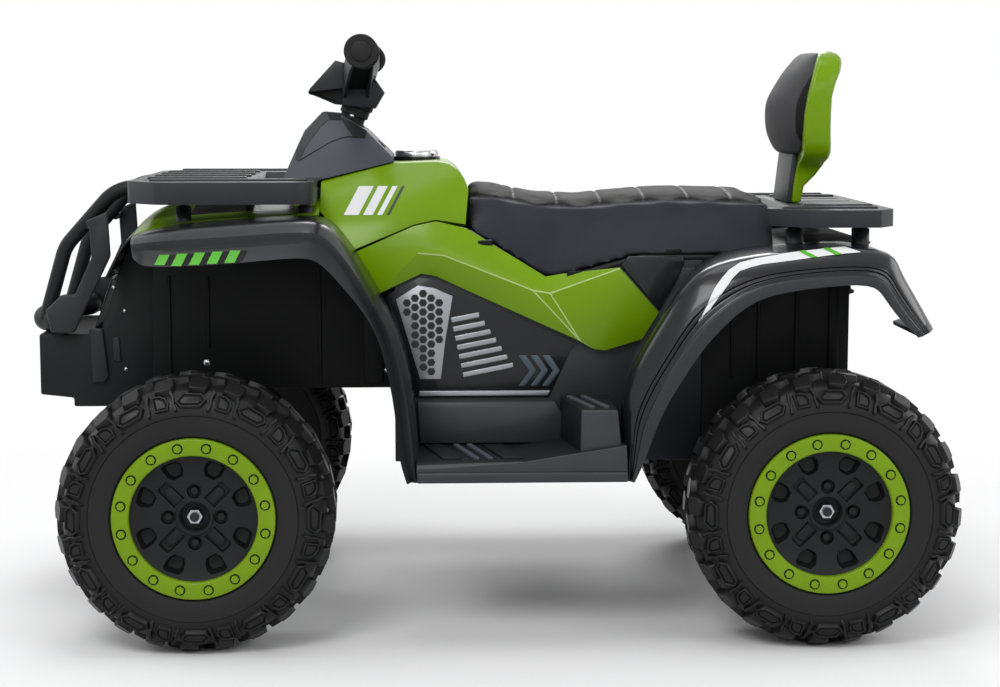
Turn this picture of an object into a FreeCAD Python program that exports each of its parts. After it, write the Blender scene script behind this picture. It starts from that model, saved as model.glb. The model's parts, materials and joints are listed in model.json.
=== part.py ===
import FreeCAD, Part
import math
import os
import re
import Sketcher

# A battery ride-on quad bike for children, built as an assembly of separate pieces.
# Millimetres. The origin lies on the ground under the middle of the bike.
# The front points to -X, the rider's right hand is +Y and +Z is up.

SIZES = {
    # wheels
    "wheelbase": 812, "front_axle_x": -372, "overall_width": 720,
    "tyre_radius": 178, "tyre_width": 130, "tread_depth": 8, "tyre_wall": 9, "bead_radius": 100,
    "bead_width": 14, "lug_count": 24, "lug_length": 26, "lug_reach": 50,
    "ring_outer_radius": 104, "ring_inner_radius": 81.5, "ring_thickness": 9, "ring_inset": 3,
    "ring_bolt_count": 16, "ring_bolt_flats": 10, "ring_bolt_height": 2.5,
    "rim_wall": 5, "rim_face_inset": 32, "rim_face_thickness": 8, "hub_radius": 24, "hub_end_inset": 4,
    "window_count": 8, "window_inner_radius": 62, "window_outer_radius": 79, "window_half_width": 14,
    "window_depth": 4, "lug_nut_count": 4, "lug_nut_circle_radius": 36, "lug_nut_radius": 7,
    "lug_nut_height": 5, "axle_radius": 6, "nut_flats": 17, "nut_thickness": 9, "nut_gap": 0.3,
    "axle_tip": 4, "running_clearance": 0.05, "seat_gap": 0.3, "ring_bevel": 2, "window_taper": 0.7,
    "window_edge": 4, "hub_bevel": 4, "dish_margin": 10, "dish_depth": 6, "lug_inset": 9, "lug_lean": 3,
    "lug_crest": 15, "lug_root": 14, "lug_shoulder": 1, "carcass_drop": 8, "carcass_lean": 6,
    "carcass_depth": 28,
    # steering
    "steer_head_x": -175, "steer_head_z": 690, "steer_rake": 22.2, "column_radius": 11,
    "column_foot_z": 222, "column_rise": 52, "tie_setback": 50, "kingpin_inset": 25,
    "kingpin_radius": 6, "knuckle_radius": 15, "knuckle_height": 42, "knuckle_gap": 0.3,
    "fork_plate": 8, "fork_reach": 14, "knuckle_arm_width": 16, "knuckle_arm_height": 10, "stud_radius": 4,
    "stud_length": 14, "collar_radius": 10, "tie_rod_radius": 5, "tie_plate": 6,
    "tie_plate_half_width": 15, "tie_eye_wall": 5, "slot_half_width": 5.6, "stud_slot_front": 10.5,
    "stud_slot_rear": 5.5, "crank_slot_front": 19, "crank_slot_rear": 5.5, "crank_radius": 7,
    "crank_pin_overlap": 3, "beam_size": 30, "beam_post_half_track": 60, "beam_post_size": 24,
    "beam_web_gap": 4, "beam_slope": 20, "beam_waist_drop": 4,
    "bar_radius": 9, "bar_setback": 18, "bar_rise": 77, "bar_root_rise": 46, "bar_half_length": 300,
    "bar_riser_half": 112, "bar_root_half": 38, "bar_bend": 24, "grip_radius": 15.5, "grip_length": 118,
    "grip_flange_radius": 21.7, "grip_flange_width": 7, "bar_cover_half": 30,
    "clamp_length": 60,
    # body shells
    "panel_wall": 4, "tub_front_setback": 254, "tub_rear_lead": 142, "tub_wheel_gap": 54,
    "tub_low_z": 218, "tub_shoulder_z": 500, "liner_wheel_gap": 80, "liner_low_z": 316,
    "liner_front_lead": 73, "hood_lap": 8, "nose_lead": 50,
    "nose_drop": 62, "brow_lead": 26, "brow_drop": 12,
    "axle_box_low_z": 140, "axle_box_half": 46, "rear_face_setback": 58,
    "rear_face_drop": 30,
    "cover_thickness": 6, "cover_low_z": 246, "cover_heel_lead": 20,
    "cover_tail_drop": 60, "cover_seat_drop": 16, "cover_dip_drop": 12, "green_thickness": 14,
    "green_plate": 8, "ridge_margin": 14, "panel_tip_z": 422, "panel_heel_z": 386, "panel_lap": 6,
    "fender_top_inset": 68, "fender_crease_inset": 40, "fender_lip_inset": 34, "crease_share": 0.38,
    "leg_slant": 18, "sill_low_z": 216, "floor_z": 243, "step_top_z": 309, "step_share": 0.21875,
    "step_rise_share": 0.2734375, "step_foot_z": 264, "footboard_wall": 5, "rib_height": 4, "rib_width": 5,
    "rib_pitch": 16, "rib_count": 4, "rib_edge": 30, "rib_start": 18, "rib_share": 0.40625,
    "tooth_count": 5, "tooth_height": 5, "tooth_margin": 28, "tooth_flat": 2,
    "fuel_cap_radius": 30, "fuel_cap_height": 9, "fuel_cap_setback": 285, "fuel_cap_lift": 1.2,
    "tank_inset": 10, "tank_skirt_drop": 6, "cowl_nose_lead": 93, "cowl_rear_setback": 56, "cowl_lift": 1,
    # seat and backrest
    "seat_front_setback": 357, "seat_front_z": 531, "seat_dip_share": 0.2421308, "seat_dip_length": 22,
    "seat_dip_z": 467, "seat_rise_share": 0.559322, "seat_rear_lead": 42, "seat_rear_z": 497,
    "seat_base_thickness": 5, "seat_channel_depth": 6, "seat_side_draw": 5,
    "seat_edge_drop": 15, "seat_rear_inset": 4, "seat_front_inset": 26,
    "seat_rear_lean": 37, "seat_front_lean": 68, "seat_crest_setback": 33, "seat_crest_end": 22,
    "seat_end_drop": 8, "seat_end_gap": 2, "seat_station_gap": 6,
    "back_foot_lead": 2, "back_foot_length": 14, "back_half_width": 112, "back_foot_half": 60,
    "pad_lift": 131, "pad_height": 144, "pad_half_width": 108, "pad_edge_draw": 2,
    "back_seam_setback": 6.5, "back_lean": 25.5, "back_lip": 2,
    # racks and bumper
    "front_rack_low_z": 570, "front_rack_top_z": 599, "rear_rack_low_z": 538, "rear_rack_top_z": 561,
    "rack_inset": 54, "rack_deck": 8, "rack_wall": 9, "rack_slot_width": 16, "rack_slot_count": 5,
    "rack_slot_pitch": 38, "rack_post_size": 14, "rack_post_inset": 4,
    "front_rack_front_lead": 98, "front_rack_rear_setback": 150, "rear_rack_front_lead": 56,
    "rear_rack_rear_setback": 109, "rack_corner": 46, "front_notch_half": 128, "rear_notch_inset": 12,
    "front_notch_lead": 62, "rear_notch_lead": 17, "notch_slant": 6, "slot_margin": 6,
    "front_post_lead": 26, "front_post_setback": 136, "rear_post_lead": 18, "rear_post_setback": 68,
    "hoop_radius": 10, "hoop_half_track": 100, "hoop_bend": 55, "low_bar_radius": 17, "low_bar_z": 406,
    "low_bar_lead": 229, "low_bar_bend": 24, "low_bar_end": 20, "low_bar_turn": 52, "low_bar_setback": 29,
    "hoop_shoulder_lead": 124, "hoop_belly_lead": 196, "hoop_belly_z": 506, "hoop_foot_setback": 4,
    "hoop_drop": 2, "boss_radius": 6, "boss_lead": 157, "boss_z": 537,
    "plate_half_track": 134, "plate_thickness": 6,
    "valance_half_width": 122, "valance_lead": 231, "valance_low_z": 288, "valance_top_z": 388,
    "valance_lip_length": 45, "valance_lip_rise": 17, "valance_lip_fall": 5, "valance_brow_height": 128,
    "valance_brow_lead": 106, "lamp_low_lead": 148, "lamp_high_lead": 124, "lamp_height": 80,
    "lamp_bevel": 6,
    "headlight_half_track": 72, "headlight_width": 64, "headlight_depth": 8,
    "tail_light_half": 85, "tail_light_low_z": 424, "tail_light_height": 26, "tail_light_depth": 8,
    # drive and controls
    "battery_length": 151, "battery_width": 98, "battery_height": 95, "battery_setback": 300,
    "control_length": 90, "control_width": 60, "control_height": 34, "control_gap": 24,
    "gear_case_radius": 52, "gear_case_width": 48, "motor_radius": 16, "motor_length": 78,
    "motor_overlap": 12,
    "pedal_gap_share": 0.07421875, "pedal_share": 0.2578125, "pedal_rise": 24, "pedal_half_width": 28,
    "pedal_cover_gap": 66, "pedal_thickness": 6, "pedal_pivot_radius": 4, "pedal_pivot_lift": 9,
    "ear_thickness": 6, "ear_radius": 8, "button_radius": 8, "button_half_track": 30,
    "button_proud": 5, "button_depth": 12, "rocker_radius": 10, "rocker_width": 14, "rocker_sink": 4,
    "control_hole_depth": 40,
}

# Side view of a front wheel arch, from its front tip down to the footboard. Each station gives the
# upper edge and the lip, as a distance behind the front axle and a height above the ground.
FRONT_ARCH = [
    ((-80, 532), (-76, 507)), ((-27, 544), (-53, 495)), ((65, 550), (54, 499)), ((154, 556), (144, 510)),
    ((174, 547), (164, 500)), ((201, 513), (198, 461)), ((233, 456), (225, 427)), ((260, 408), (243, 385)),
    ((280, 326), (258, 304)), ((286, 247), (260, 249)), ((287, 216), (272, 216)),
]

# The same for a rear wheel arch, from its rear tip forward and down, measured from the rear axle.
REAR_ARCH = [
    ((149, 413), (116, 402)), ((124, 459), (85, 432)), ((103, 490), (68, 460)), ((90, 520), (50, 474)),
    ((-47, 513), (-60, 462)), ((-106, 506), (-107, 447)), ((-172, 490), (-161, 391)),
    ((-208, 432), (-189, 345)), ((-240, 380), (-211, 310)), ((-269, 328), (-226, 270)),
    ((-262, 262), (-237, 238)), ((-260, 216), (-248, 216)),
]

# Sizes that follow from the sizes and the arches.
DERIVED = {
    "rear_axle_x": "front_axle_x + wheelbase",
    "axle_z": "tyre_radius",
    "rear_face_x": "rear_axle_x + rear_face_setback",
    "wheel_outer": "overall_width / 2",
    "wheel_inner": "wheel_outer - tyre_width",
    "hub_outer": "wheel_outer - rim_face_inset",
    "hub_inner": "wheel_inner + hub_end_inset",
    "axle_end": "hub_outer + nut_gap + nut_thickness + axle_tip",
    "kingpin_half_track": "wheel_inner - kingpin_inset",
    "column_top_z": "steer_head_z + column_rise",
    "bar_x": "steer_head_x + bar_setback",
    "bar_z": "steer_head_z + bar_rise",
    "bar_root_z": "steer_head_z + bar_root_rise",
    "column_hole_length": "2 * (column_top_z - column_foot_z)",
    "tub_half_width": "wheel_inner - tub_wheel_gap",
    "rear_half_width": "tub_half_width - seat_gap",
    "liner_half_width": "wheel_inner - liner_wheel_gap",
    "fender_top_half": "wheel_outer - fender_top_inset",
    "fender_crease_half": "wheel_outer - fender_crease_inset",
    "fender_lip_half": "wheel_outer - fender_lip_inset",
    "seat_rear_half": "tub_half_width - seat_rear_inset",
    "seat_front_half": "tub_half_width - seat_front_inset",
    "seat_rear_top_half": "seat_rear_half - seat_rear_lean",
    "seat_front_top_half": "seat_front_half - seat_front_lean",
    "tub_front_x": "front_axle_x + tub_front_setback",
    "tub_rear_x": "rear_axle_x - tub_rear_lead",
    "seat_front_x": "front_axle_x + seat_front_setback",
    "seat_rear_x": "rear_axle_x - seat_rear_lead",
    "seat_dip_x": "seat_front_x + seat_dip_share * (seat_rear_x - seat_front_x)",
    "seat_rise_x": "seat_front_x + seat_rise_share * (seat_rear_x - seat_front_x)",
    "pad_low_z": "seat_rear_z + pad_lift",
    "pad_top_z": "pad_low_z + pad_height",
    "cover_half": "tub_half_width + cover_thickness",
    "pedal_half_track": "cover_half + pedal_cover_gap",
    "hood_half_width": "cover_half + hood_lap",
    "rack_half_width": "fender_top_half - rack_inset",
    "rack_post_half_track": "tub_half_width - rack_post_inset",
    "rear_notch_half": "seat_rear_half - rear_notch_inset",
    "foot_room": f"wheelbase - {FRONT_ARCH[-1][0][0]} + {REAR_ARCH[-3][0][0]}",
    "step_length": "step_share * foot_room",
    "step_rise_length": "step_rise_share * foot_room",
    "rib_length": "rib_share * foot_room",
    "pedal_length": "pedal_share * foot_room",
    "pedal_heel_gap": "pedal_gap_share * foot_room",
    "green_half": "cover_half + green_thickness",
    "tie_x": "front_axle_x + tie_setback",
    "arm_low_z": "axle_z - knuckle_arm_height / 2",
    "arm_top_z": "axle_z + knuckle_arm_height / 2",
    "tie_low_z": "arm_top_z + knuckle_gap",
    "tie_top_z": "tie_low_z + tie_plate",
    "fork_inner_half": "knuckle_height / 2 + knuckle_gap",
    "fork_outer_half": "fork_inner_half + fork_plate",
}

# Side view of the tank from its low edge at the steering head backwards and round to its top, as
# distances behind the front axle and heights.
TANK_LINE = [(281, 539), (310, 545), (350, 539), (355, 589), (346, 606), (331, 620), (312, 622), (255, 620)]
TANK_FRONT_TOP = 596
TANK_SIDE_LOW, TANK_SHOULDER = 480, 540
TANK_HALF = [(120, 600), (92, 640)]

# Side view of the cowl round the steering head, from its nose over the top to the rider's console, as
# distances behind the head and heights, then half of its front view as half widths and heights.
COWL_LINE = [(-95, 597), (-67, 663), (-43, 689), (-20, 687), (21, 661), (55, 627)]
COWL_HALF = [(112, 540), (112, 600), (92, 640), (40, 692)]

# The green wing's lower edge back to the rear fender, and its upper edge forward again, as shares of
# its run and heights. Its corner at the tank and its start are distances behind the front axle.
WING_LOW = [(0.078, 448), (0.2262, 475), (0.2755, 472), (0.7824, 383), (0.8266, 373), (0.8682, 371)]
WING_TOP = [(0.9176, 482), (0.6603, 462)]
WING_CORNER = (351, 535)
WING_START = (203, 505)

# A bumper side plate, as distances ahead of the front axle and heights.
BUMPER_PLATE = [(162, 543), (132, 556), (129, 496), (180, 392), (212, 392), (218, 422), (198, 442),
                (178, 444), (155, 494), (157, 532)]

# Crest heights of the saddle's cushions from front to rear.
SEAT_CREST_HEIGHTS = [590, 579, 576, 582, 586, 585, 583]

# The backrest pad at shares of its height: how deep it is and how much narrower than its widest.
PAD_SECTIONS = [(0, 16, 20), (0.22, 38, 4), (0.5, 48, 0), (0.8, 30, 10), (1, 10, 32)]

# Side view of the backrest shell's rear from the foot up, as distances behind the rear axle and heights,
# then half of its front view as insets from the full width and heights.
BACK_REAR = [(16, 582), (36, 612), (45, 623), (42, 637), (42, 705), (59, 760), (56, 768)]
BACK_WAIST = (2, 606)
BACK_FOOT_TOP, BACK_FLARE, BACK_FLARE_Z = 594, 14, 618
BACK_HALF = [(8, 634), (0, 664), (0, 724), (14, 758), (42, 776)]

# The handlebar cover's side view about the steering head.
BAR_COVER = [(-61, 31), (-25, 70), (21, 57), (43, 25), (30, 3), (-26, 9), (-64, 25)]

# Half of a tyre's cross-section: the sidewall as distances outside the wheel ring, then the shoulder as
# drops below the crown, each with its depth behind the tyre's outer face.
TYRE_SIDEWALL = [(1, 7), (9, 3), (29, 0)]
TYRE_SHOULDER = [(12, 6), (0, 22)]

ROOT_3 = 3 ** 0.5

doc = FreeCAD.newDocument("quad_bike")
sheet = doc.addObject("Spreadsheet::Sheet", "sizes")
for row, (name, number) in enumerate(SIZES.items(), start=1):
    sheet.set(f"A{row}", name)
    sheet.set(f"B{row}", str(number))
    sheet.setAlias(f"B{row}", name)
doc.recompute()

subparts = []


# Reading sizes

def formula(text):
    """Spell a formula of size names out for the document's expressions."""
    def spell(match):
        word = match.group()
        if word in DERIVED:
            return "(" + formula(DERIVED[word]) + ")"
        return "sizes." + word
    return re.sub(r"[a-z]\w*", spell, str(text))


def size(text):
    """The number that a formula of size names stands for."""
    return float(sheet.evalExpression(formula(text)))


def bind(thing, field, text):
    thing.setExpression(field, formula(text))


def keep(thing, label):
    """Count a document object as a sub-part under its own name."""
    thing.Label = label
    subparts.append(thing)
    return thing


# Bodies drawn as sketches

PLANE_ROLES = {"XY": "XY_Plane", "XZ": "XZ_Plane", "YZ": "YZ_Plane"}
PLANE_SIGNS = {"XY": "", "XZ": "-", "YZ": ""}


def new_body(label):
    return keep(doc.addObject("PartDesign::Body", label), label)


def new_sketch(body, plane, start="0"):
    """An empty sketch on one of the body's planes, moved to a coordinate along the plane's axis."""
    sketch = body.newObject("Sketcher::SketchObject", body.Name + "_sketch")
    origin = body.Origin.OriginFeatures
    sketch.AttachmentSupport = [(next(f for f in origin if f.Role == PLANE_ROLES[plane]), "")]
    sketch.MapMode = "FlatFace"
    bind(sketch, "AttachmentOffset.Base.z", f"{PLANE_SIGNS[plane]}({start})")
    return sketch


def fix_point(sketch, edge, end, across, along):
    """Hold one end or the centre of an edge at two formulas."""
    for kind, text in (("DistanceX", across), ("DistanceY", along)):
        index = sketch.addConstraint(Sketcher.Constraint(kind, -1, 1, edge, end, size(text)))
        bind(sketch, f"Constraints[{index}]", text)


def add_polygon(sketch, points):
    """A closed outline of straight lines through points given as pairs of formulas."""
    spots = [FreeCAD.Vector(size(across), size(along), 0) for across, along in points]
    count = len(spots)
    first = sketch.GeometryCount
    for number in range(count):
        sketch.addGeometry(Part.LineSegment(spots[number], spots[(number + 1) % count]))
    for number in range(count):
        following = first + (number + 1) % count
        sketch.addConstraint(Sketcher.Constraint("Coincident", first + number, 2, following, 1))
    for number, (across, along) in enumerate(points):
        fix_point(sketch, first + number, 1, across, along)


def add_circle(sketch, across, along, radius):
    center = FreeCAD.Vector(size(across), size(along), 0)
    edge = sketch.addGeometry(Part.Circle(center, FreeCAD.Vector(0, 0, 1), size(radius)))
    fix_point(sketch, edge, 3, across, along)
    index = sketch.addConstraint(Sketcher.Constraint("Radius", edge, size(radius)))
    bind(sketch, f"Constraints[{index}]", radius)


def rectangle(low_across, high_across, low_along, high_along):
    return [(low_across, low_along), (high_across, low_along), (high_across, high_along),
            (low_across, high_along)]


def add_pad(body, sketch, length, middle=False, reverse=False):
    """Thicken a sketch. It grows to +Z from XY, to -Y from XZ and to +X from YZ."""
    pad = body.newObject("PartDesign::Pad", body.Name + "_pad")
    pad.Profile = sketch
    pad.Midplane = middle
    pad.Reversed = reverse
    bind(pad, "Length", length)
    return pad


def add_pocket(body, sketch, length, middle=False, reverse=False):
    """Cut a sketch out. It cuts towards -Z from XY, to +Y from XZ and to -X from YZ."""
    pocket = body.newObject("PartDesign::Pocket", body.Name + "_pocket")
    pocket.Profile = sketch
    pocket.Midplane = middle
    pocket.Reversed = reverse
    bind(pocket, "Length", length)
    return pocket


def padded_polygon(body, plane, points, length, start="0", **how):
    sketch = new_sketch(body, plane, start)
    add_polygon(sketch, points)
    return add_pad(body, sketch, length, **how)


def cut_polygon(body, plane, points, length, start="0", **how):
    sketch = new_sketch(body, plane, start)
    add_polygon(sketch, points)
    return add_pocket(body, sketch, length, **how)


def padded_circle(body, plane, across, along, radius, length, start="0", **how):
    sketch = new_sketch(body, plane, start)
    add_circle(sketch, across, along, radius)
    return add_pad(body, sketch, length, **how)


def cut_circle(body, plane, across, along, radius, length, start="0", **how):
    sketch = new_sketch(body, plane, start)
    add_circle(sketch, across, along, radius)
    return add_pocket(body, sketch, length, **how)


def mirrored(source, label):
    """The same piece on the rider's right hand side."""
    twin = doc.addObject("Part::Mirroring", label)
    twin.Source = source
    twin.Normal = FreeCAD.Vector(0, 1, 0)
    return keep(twin, label)


def pair_up(source, label):
    """One node that holds a piece and its twin on the other side as two solids."""
    subparts.remove(source)
    twin = doc.addObject("Part::Mirroring", label + "_twin")
    twin.Source = source
    twin.Normal = FreeCAD.Vector(0, 1, 0)
    pair = doc.addObject("Part::Compound", label)
    pair.Links = [source, twin]
    return keep(pair, label)


# Shapes worked out directly

def vector(x, y, z):
    return FreeCAD.Vector(x, y, z)


def shaped(label, shape):
    feature = doc.addObject("Part::Feature", label)
    feature.Shape = shape
    return keep(feature, label)


def side_prism(points, half_width):
    """A side outline in X and Z, thickened to both sides of the middle plane."""
    corners = [vector(x, -half_width, z) for x, z in points]
    face = Part.Face(Part.makePolygon(corners + corners[:1]))
    return face.extrude(vector(0, 2 * half_width, 0))


def front_prism(half_points, low_x, high_x):
    """A half outline in Y and Z, mirrored about the middle plane and thickened along X."""
    right = [vector(low_x, y, z) for y, z in half_points]
    left = [vector(low_x, -y, z) for y, z in reversed(half_points)]
    face = Part.Face(Part.makePolygon(right + left + right[:1]))
    return face.extrude(vector(high_x - low_x, 0, 0))


def inset(points, wall):
    """The outline drawn in by a wall's thickness."""
    corners = [vector(x, z, 0) for x, z in points]
    wire = Part.makePolygon(corners + corners[:1])
    smaller = wire.makeOffset2D(-wall, 2)
    return [(v.X, v.Y) for v in smaller.OrderedVertexes]


def rounded_wire(points, bend):
    """Straight runs through points, joined by tangent arcs of one radius."""
    edges = []
    start = points[0]
    for before, corner, after in zip(points, points[1:], points[2:]):
        inward = (before - corner).normalize()
        outward = (after - corner).normalize()
        turn = math.pi - inward.getAngle(outward)
        reach = bend * math.tan(turn / 2)
        bisector = (inward + outward).normalize()
        middle = corner + bisector * (bend / math.cos(turn / 2) - bend)
        arc_start = corner + inward * reach
        arc_end = corner + outward * reach
        edges.append(Part.LineSegment(start, arc_start).toShape())
        edges.append(Part.Arc(arc_start, middle, arc_end).toShape())
        start = arc_end
    edges.append(Part.LineSegment(start, points[-1]).toShape())
    return Part.Wire(edges)


def bent_tube(points, bend, radius):
    """A round bar along a path of runs and arcs."""
    path = rounded_wire(points, bend)
    profile = Part.Wire(Part.makeCircle(radius, points[0], points[1] - points[0]))
    return path.makePipeShell([profile], True, False)


def steer_point(height):
    """The point of the raked steering axis at a height."""
    lean = math.tan(math.radians(size("steer_rake")))
    return vector(size("steer_head_x") + (height - size("steer_head_z")) * lean, 0, height)


def steer_direction():
    rake = math.radians(size("steer_rake"))
    return vector(math.sin(rake), 0, math.cos(rake))


def column_hole(radius):
    """A long round tool along the steering axis."""
    foot = steer_point(size("column_foot_z"))
    return Part.makeCylinder(size(radius), size("column_hole_length"), foot, steer_direction())


def crank_end():
    """Where the column's crank reaches the tie rod."""
    foot = steer_point(size("column_foot_z"))
    rake = math.radians(size("steer_rake"))
    length = (size("tie_x") - foot.x) / math.cos(rake)
    return foot + vector(math.cos(rake), 0, -math.sin(rake)) * length


def top_edge(arch, axle):
    """The upper edge of a wheel arch in the bike's own X and Z."""
    return [(size(axle) + dx, z) for (dx, z), _ in arch]


def hood_height(x):
    """Height of the hood's upper face at a distance along the bike."""
    edge = top_edge(FRONT_ARCH, "front_axle_x")
    return height_on(edge[:4], x)


def height_on(edge, x):
    spans = zip(edge, edge[1:])
    (x0, z0), (x1, z1) = next(s for s in spans if min(s[0][0], s[1][0]) <= x <= max(s[0][0], s[1][0]))
    return z0 + (z1 - z0) * (x - x0) / (x1 - x0)


# Chassis tub and inner liners

SEAT_LINE = [("seat_front_x", "seat_front_z"), ("seat_dip_x", "seat_dip_z"),
             ("seat_dip_x + seat_dip_length", "seat_dip_z"), ("seat_rise_x", "seat_rear_z")]


def make_chassis_tub():
    body = new_body("chassis_tub")
    top = [(x, f"{z} - seat_base_thickness") for x, z in SEAT_LINE]
    top.append(("tub_rear_x", "seat_rear_z - seat_base_thickness"))
    top.insert(0, ("seat_front_x", "tub_shoulder_z"))
    top.insert(0, ("tub_front_x", "tub_shoulder_z"))
    low = [("tub_rear_x", "tub_low_z"), ("tub_front_x", "tub_low_z")]
    padded_polygon(body, "XZ", top + low, "2 * tub_half_width", middle=True)
    cavity = rectangle("tub_front_x + panel_wall", "tub_rear_x - panel_wall",
                       "tub_low_z + panel_wall", "seat_front_z")
    cut_polygon(body, "XZ", cavity, "2 * (tub_half_width - panel_wall)", middle=True)


def make_front_liner():
    body = new_body("front_liner")
    front = "front_axle_x - liner_front_lead"
    nose_z = hood_height(size(front)) - size("panel_wall")
    edge = top_edge(FRONT_ARCH, "front_axle_x")
    outline = [(front, "liner_low_z"), ("tub_front_x", "liner_low_z"), ("tub_front_x", "tub_shoulder_z"),
               (edge[5][0], "tub_shoulder_z"),
               (edge[3][0] - size("panel_wall"), edge[3][1] - size("panel_wall + 2 * seat_gap")),
               (front, nose_z)]
    padded_polygon(body, "XZ", outline, "2 * liner_half_width", middle=True)
    cavity = rectangle(f"{front} + panel_wall", "tub_front_x - panel_wall",
                       "liner_low_z + panel_wall", edge[3][1])
    cut_polygon(body, "XZ", cavity, "2 * (liner_half_width - panel_wall)", middle=True)
    bearing = doc.addObject("Part::Cylinder", "column_bearing_hole")
    foot = steer_point(size("column_foot_z"))
    bind(bearing, "Radius", "column_radius + running_clearance")
    bind(bearing, "Height", "liner_low_z + 4 * column_radius - column_foot_z")
    bearing.Placement = FreeCAD.Placement(foot, FreeCAD.Rotation(vector(0, 0, 1), steer_direction()))
    subparts.remove(body)
    drilled = doc.addObject("Part::Cut", "front_liner_drilled")
    drilled.Base = body
    drilled.Tool = bearing
    body.Label = "front_liner_shell"
    keep(drilled, "front_liner")


def make_rear_liner():
    body = new_body("rear_liner")
    edge = top_edge(REAR_ARCH, "rear_axle_x")
    deck_front = "seat_rear_x + seat_gap"
    deck_low = height_on(edge[3:5], size(deck_front)) - size("panel_wall + 2 * seat_gap")
    outline = [
        ("tub_rear_x", "tub_low_z"),
        ("rear_axle_x - axle_box_half - tub_low_z + axle_box_low_z", "tub_low_z"),
        ("rear_axle_x - axle_box_half", "axle_box_low_z"),
        ("rear_axle_x + axle_box_half", "axle_box_low_z"),
        ("rear_face_x", "tub_low_z"),
        ("rear_face_x", "seat_rear_z - rear_face_drop"),
        (edge[3][0] - size("panel_wall"), edge[3][1] - size("panel_wall + 2 * seat_gap")),
        (deck_front, deck_low),
        (deck_front, "seat_rear_z - seat_base_thickness"),
        ("tub_rear_x", "seat_rear_z - seat_base_thickness"),
    ]
    padded_polygon(body, "XZ", outline, "2 * rear_half_width", middle=True)
    cavity = [
        ("tub_rear_x", "tub_low_z + panel_wall"),
        ("rear_axle_x - axle_box_half - tub_low_z + axle_box_low_z + panel_wall", "tub_low_z + panel_wall"),
        ("rear_axle_x - axle_box_half + panel_wall", "axle_box_low_z + panel_wall"),
        ("rear_axle_x + axle_box_half - panel_wall", "axle_box_low_z + panel_wall"),
        ("rear_axle_x + axle_box_half - panel_wall", "seat_rear_z - seat_base_thickness - 2 * panel_wall"),
        ("tub_rear_x", "seat_rear_z - seat_base_thickness - 2 * panel_wall"),
    ]
    cut_polygon(body, "XZ", cavity, "2 * (rear_half_width - panel_wall)", middle=True)
    cut_circle(body, "XZ", "rear_axle_x", "axle_z", "axle_radius", "2 * rear_half_width", middle=True)


# Fenders, hood and footboards

def arch_shell(arch, axle, inner_halves, slants):
    """A fender of one wall: a roof over the wheel, a crease and a skirt down to the lip."""
    wall = size("panel_wall")
    top_y, crease_y, lip_y = (-size(f"fender_{name}_half") for name in ("top", "crease", "lip"))
    sections = []
    for ((top_dx, top_z), (lip_dx, lip_z)), inner_half, slant in zip(arch, inner_halves, slants):
        top = vector(size(axle) + top_dx, 0, top_z)
        lip = vector(size(axle) + lip_dx, 0, lip_z)
        fall = (lip - top).normalize() * wall
        crease = top + (lip - top) * size("crease_share")
        back = vector(slant, 0, 0)
        outer = [top + back + vector(0, -inner_half, 0), top + vector(0, top_y, 0),
                 crease + vector(0, crease_y, 0), lip + vector(0, lip_y, 0)]
        inner = [lip + vector(0, lip_y + wall, 0), crease + vector(0, crease_y + wall, 0),
                 top + fall + vector(0, top_y + wall / 2, 0), outer[0] + fall]
        sections.append(Part.makePolygon(outer + inner + outer[:1]))
    return Part.makeLoft(sections, True, True)


def make_front_fenders():
    legs = size("cover_half + seat_gap")
    roof = size("hood_half_width")
    inner_halves = [roof] * 9 + [legs] * 2
    left = shaped("front_fender_left", arch_shell(FRONT_ARCH, "front_axle_x", inner_halves, [0] * 11))
    mirrored(left, "front_fender_right")


def make_rear_fenders():
    roof = size("tub_half_width")
    beside_cover = size("cover_half + seat_gap")
    beside_green = size("green_half + seat_gap")
    inner_halves = [roof] * 6 + [beside_cover] + [beside_green] * 2 + [beside_cover] * 3
    slants = [0] * 6 + [size("leg_slant")] * 5 + [size("panel_wall")]
    left = shaped("rear_fender_left", arch_shell(REAR_ARCH, "rear_axle_x", inner_halves, slants))
    mirrored(left, "rear_fender_right")


def make_front_hood():
    """The middle of the nose between the front fenders, with a hole for the steering column."""
    wall = size("panel_wall")
    edge = top_edge(FRONT_ARCH, "front_axle_x")[:4]
    tip_x, tip_z = edge[0]
    upper = [(tip_x - size("nose_lead"), tip_z - size("nose_drop")),
             (tip_x - size("brow_lead"), tip_z - size("brow_drop"))] + edge
    lower = [(x, z - wall) for x, z in reversed(upper)]
    plate = side_prism(upper + lower, size("hood_half_width"))
    shaped("front_hood", plate.cut(column_hole("column_radius + panel_wall")))


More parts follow.
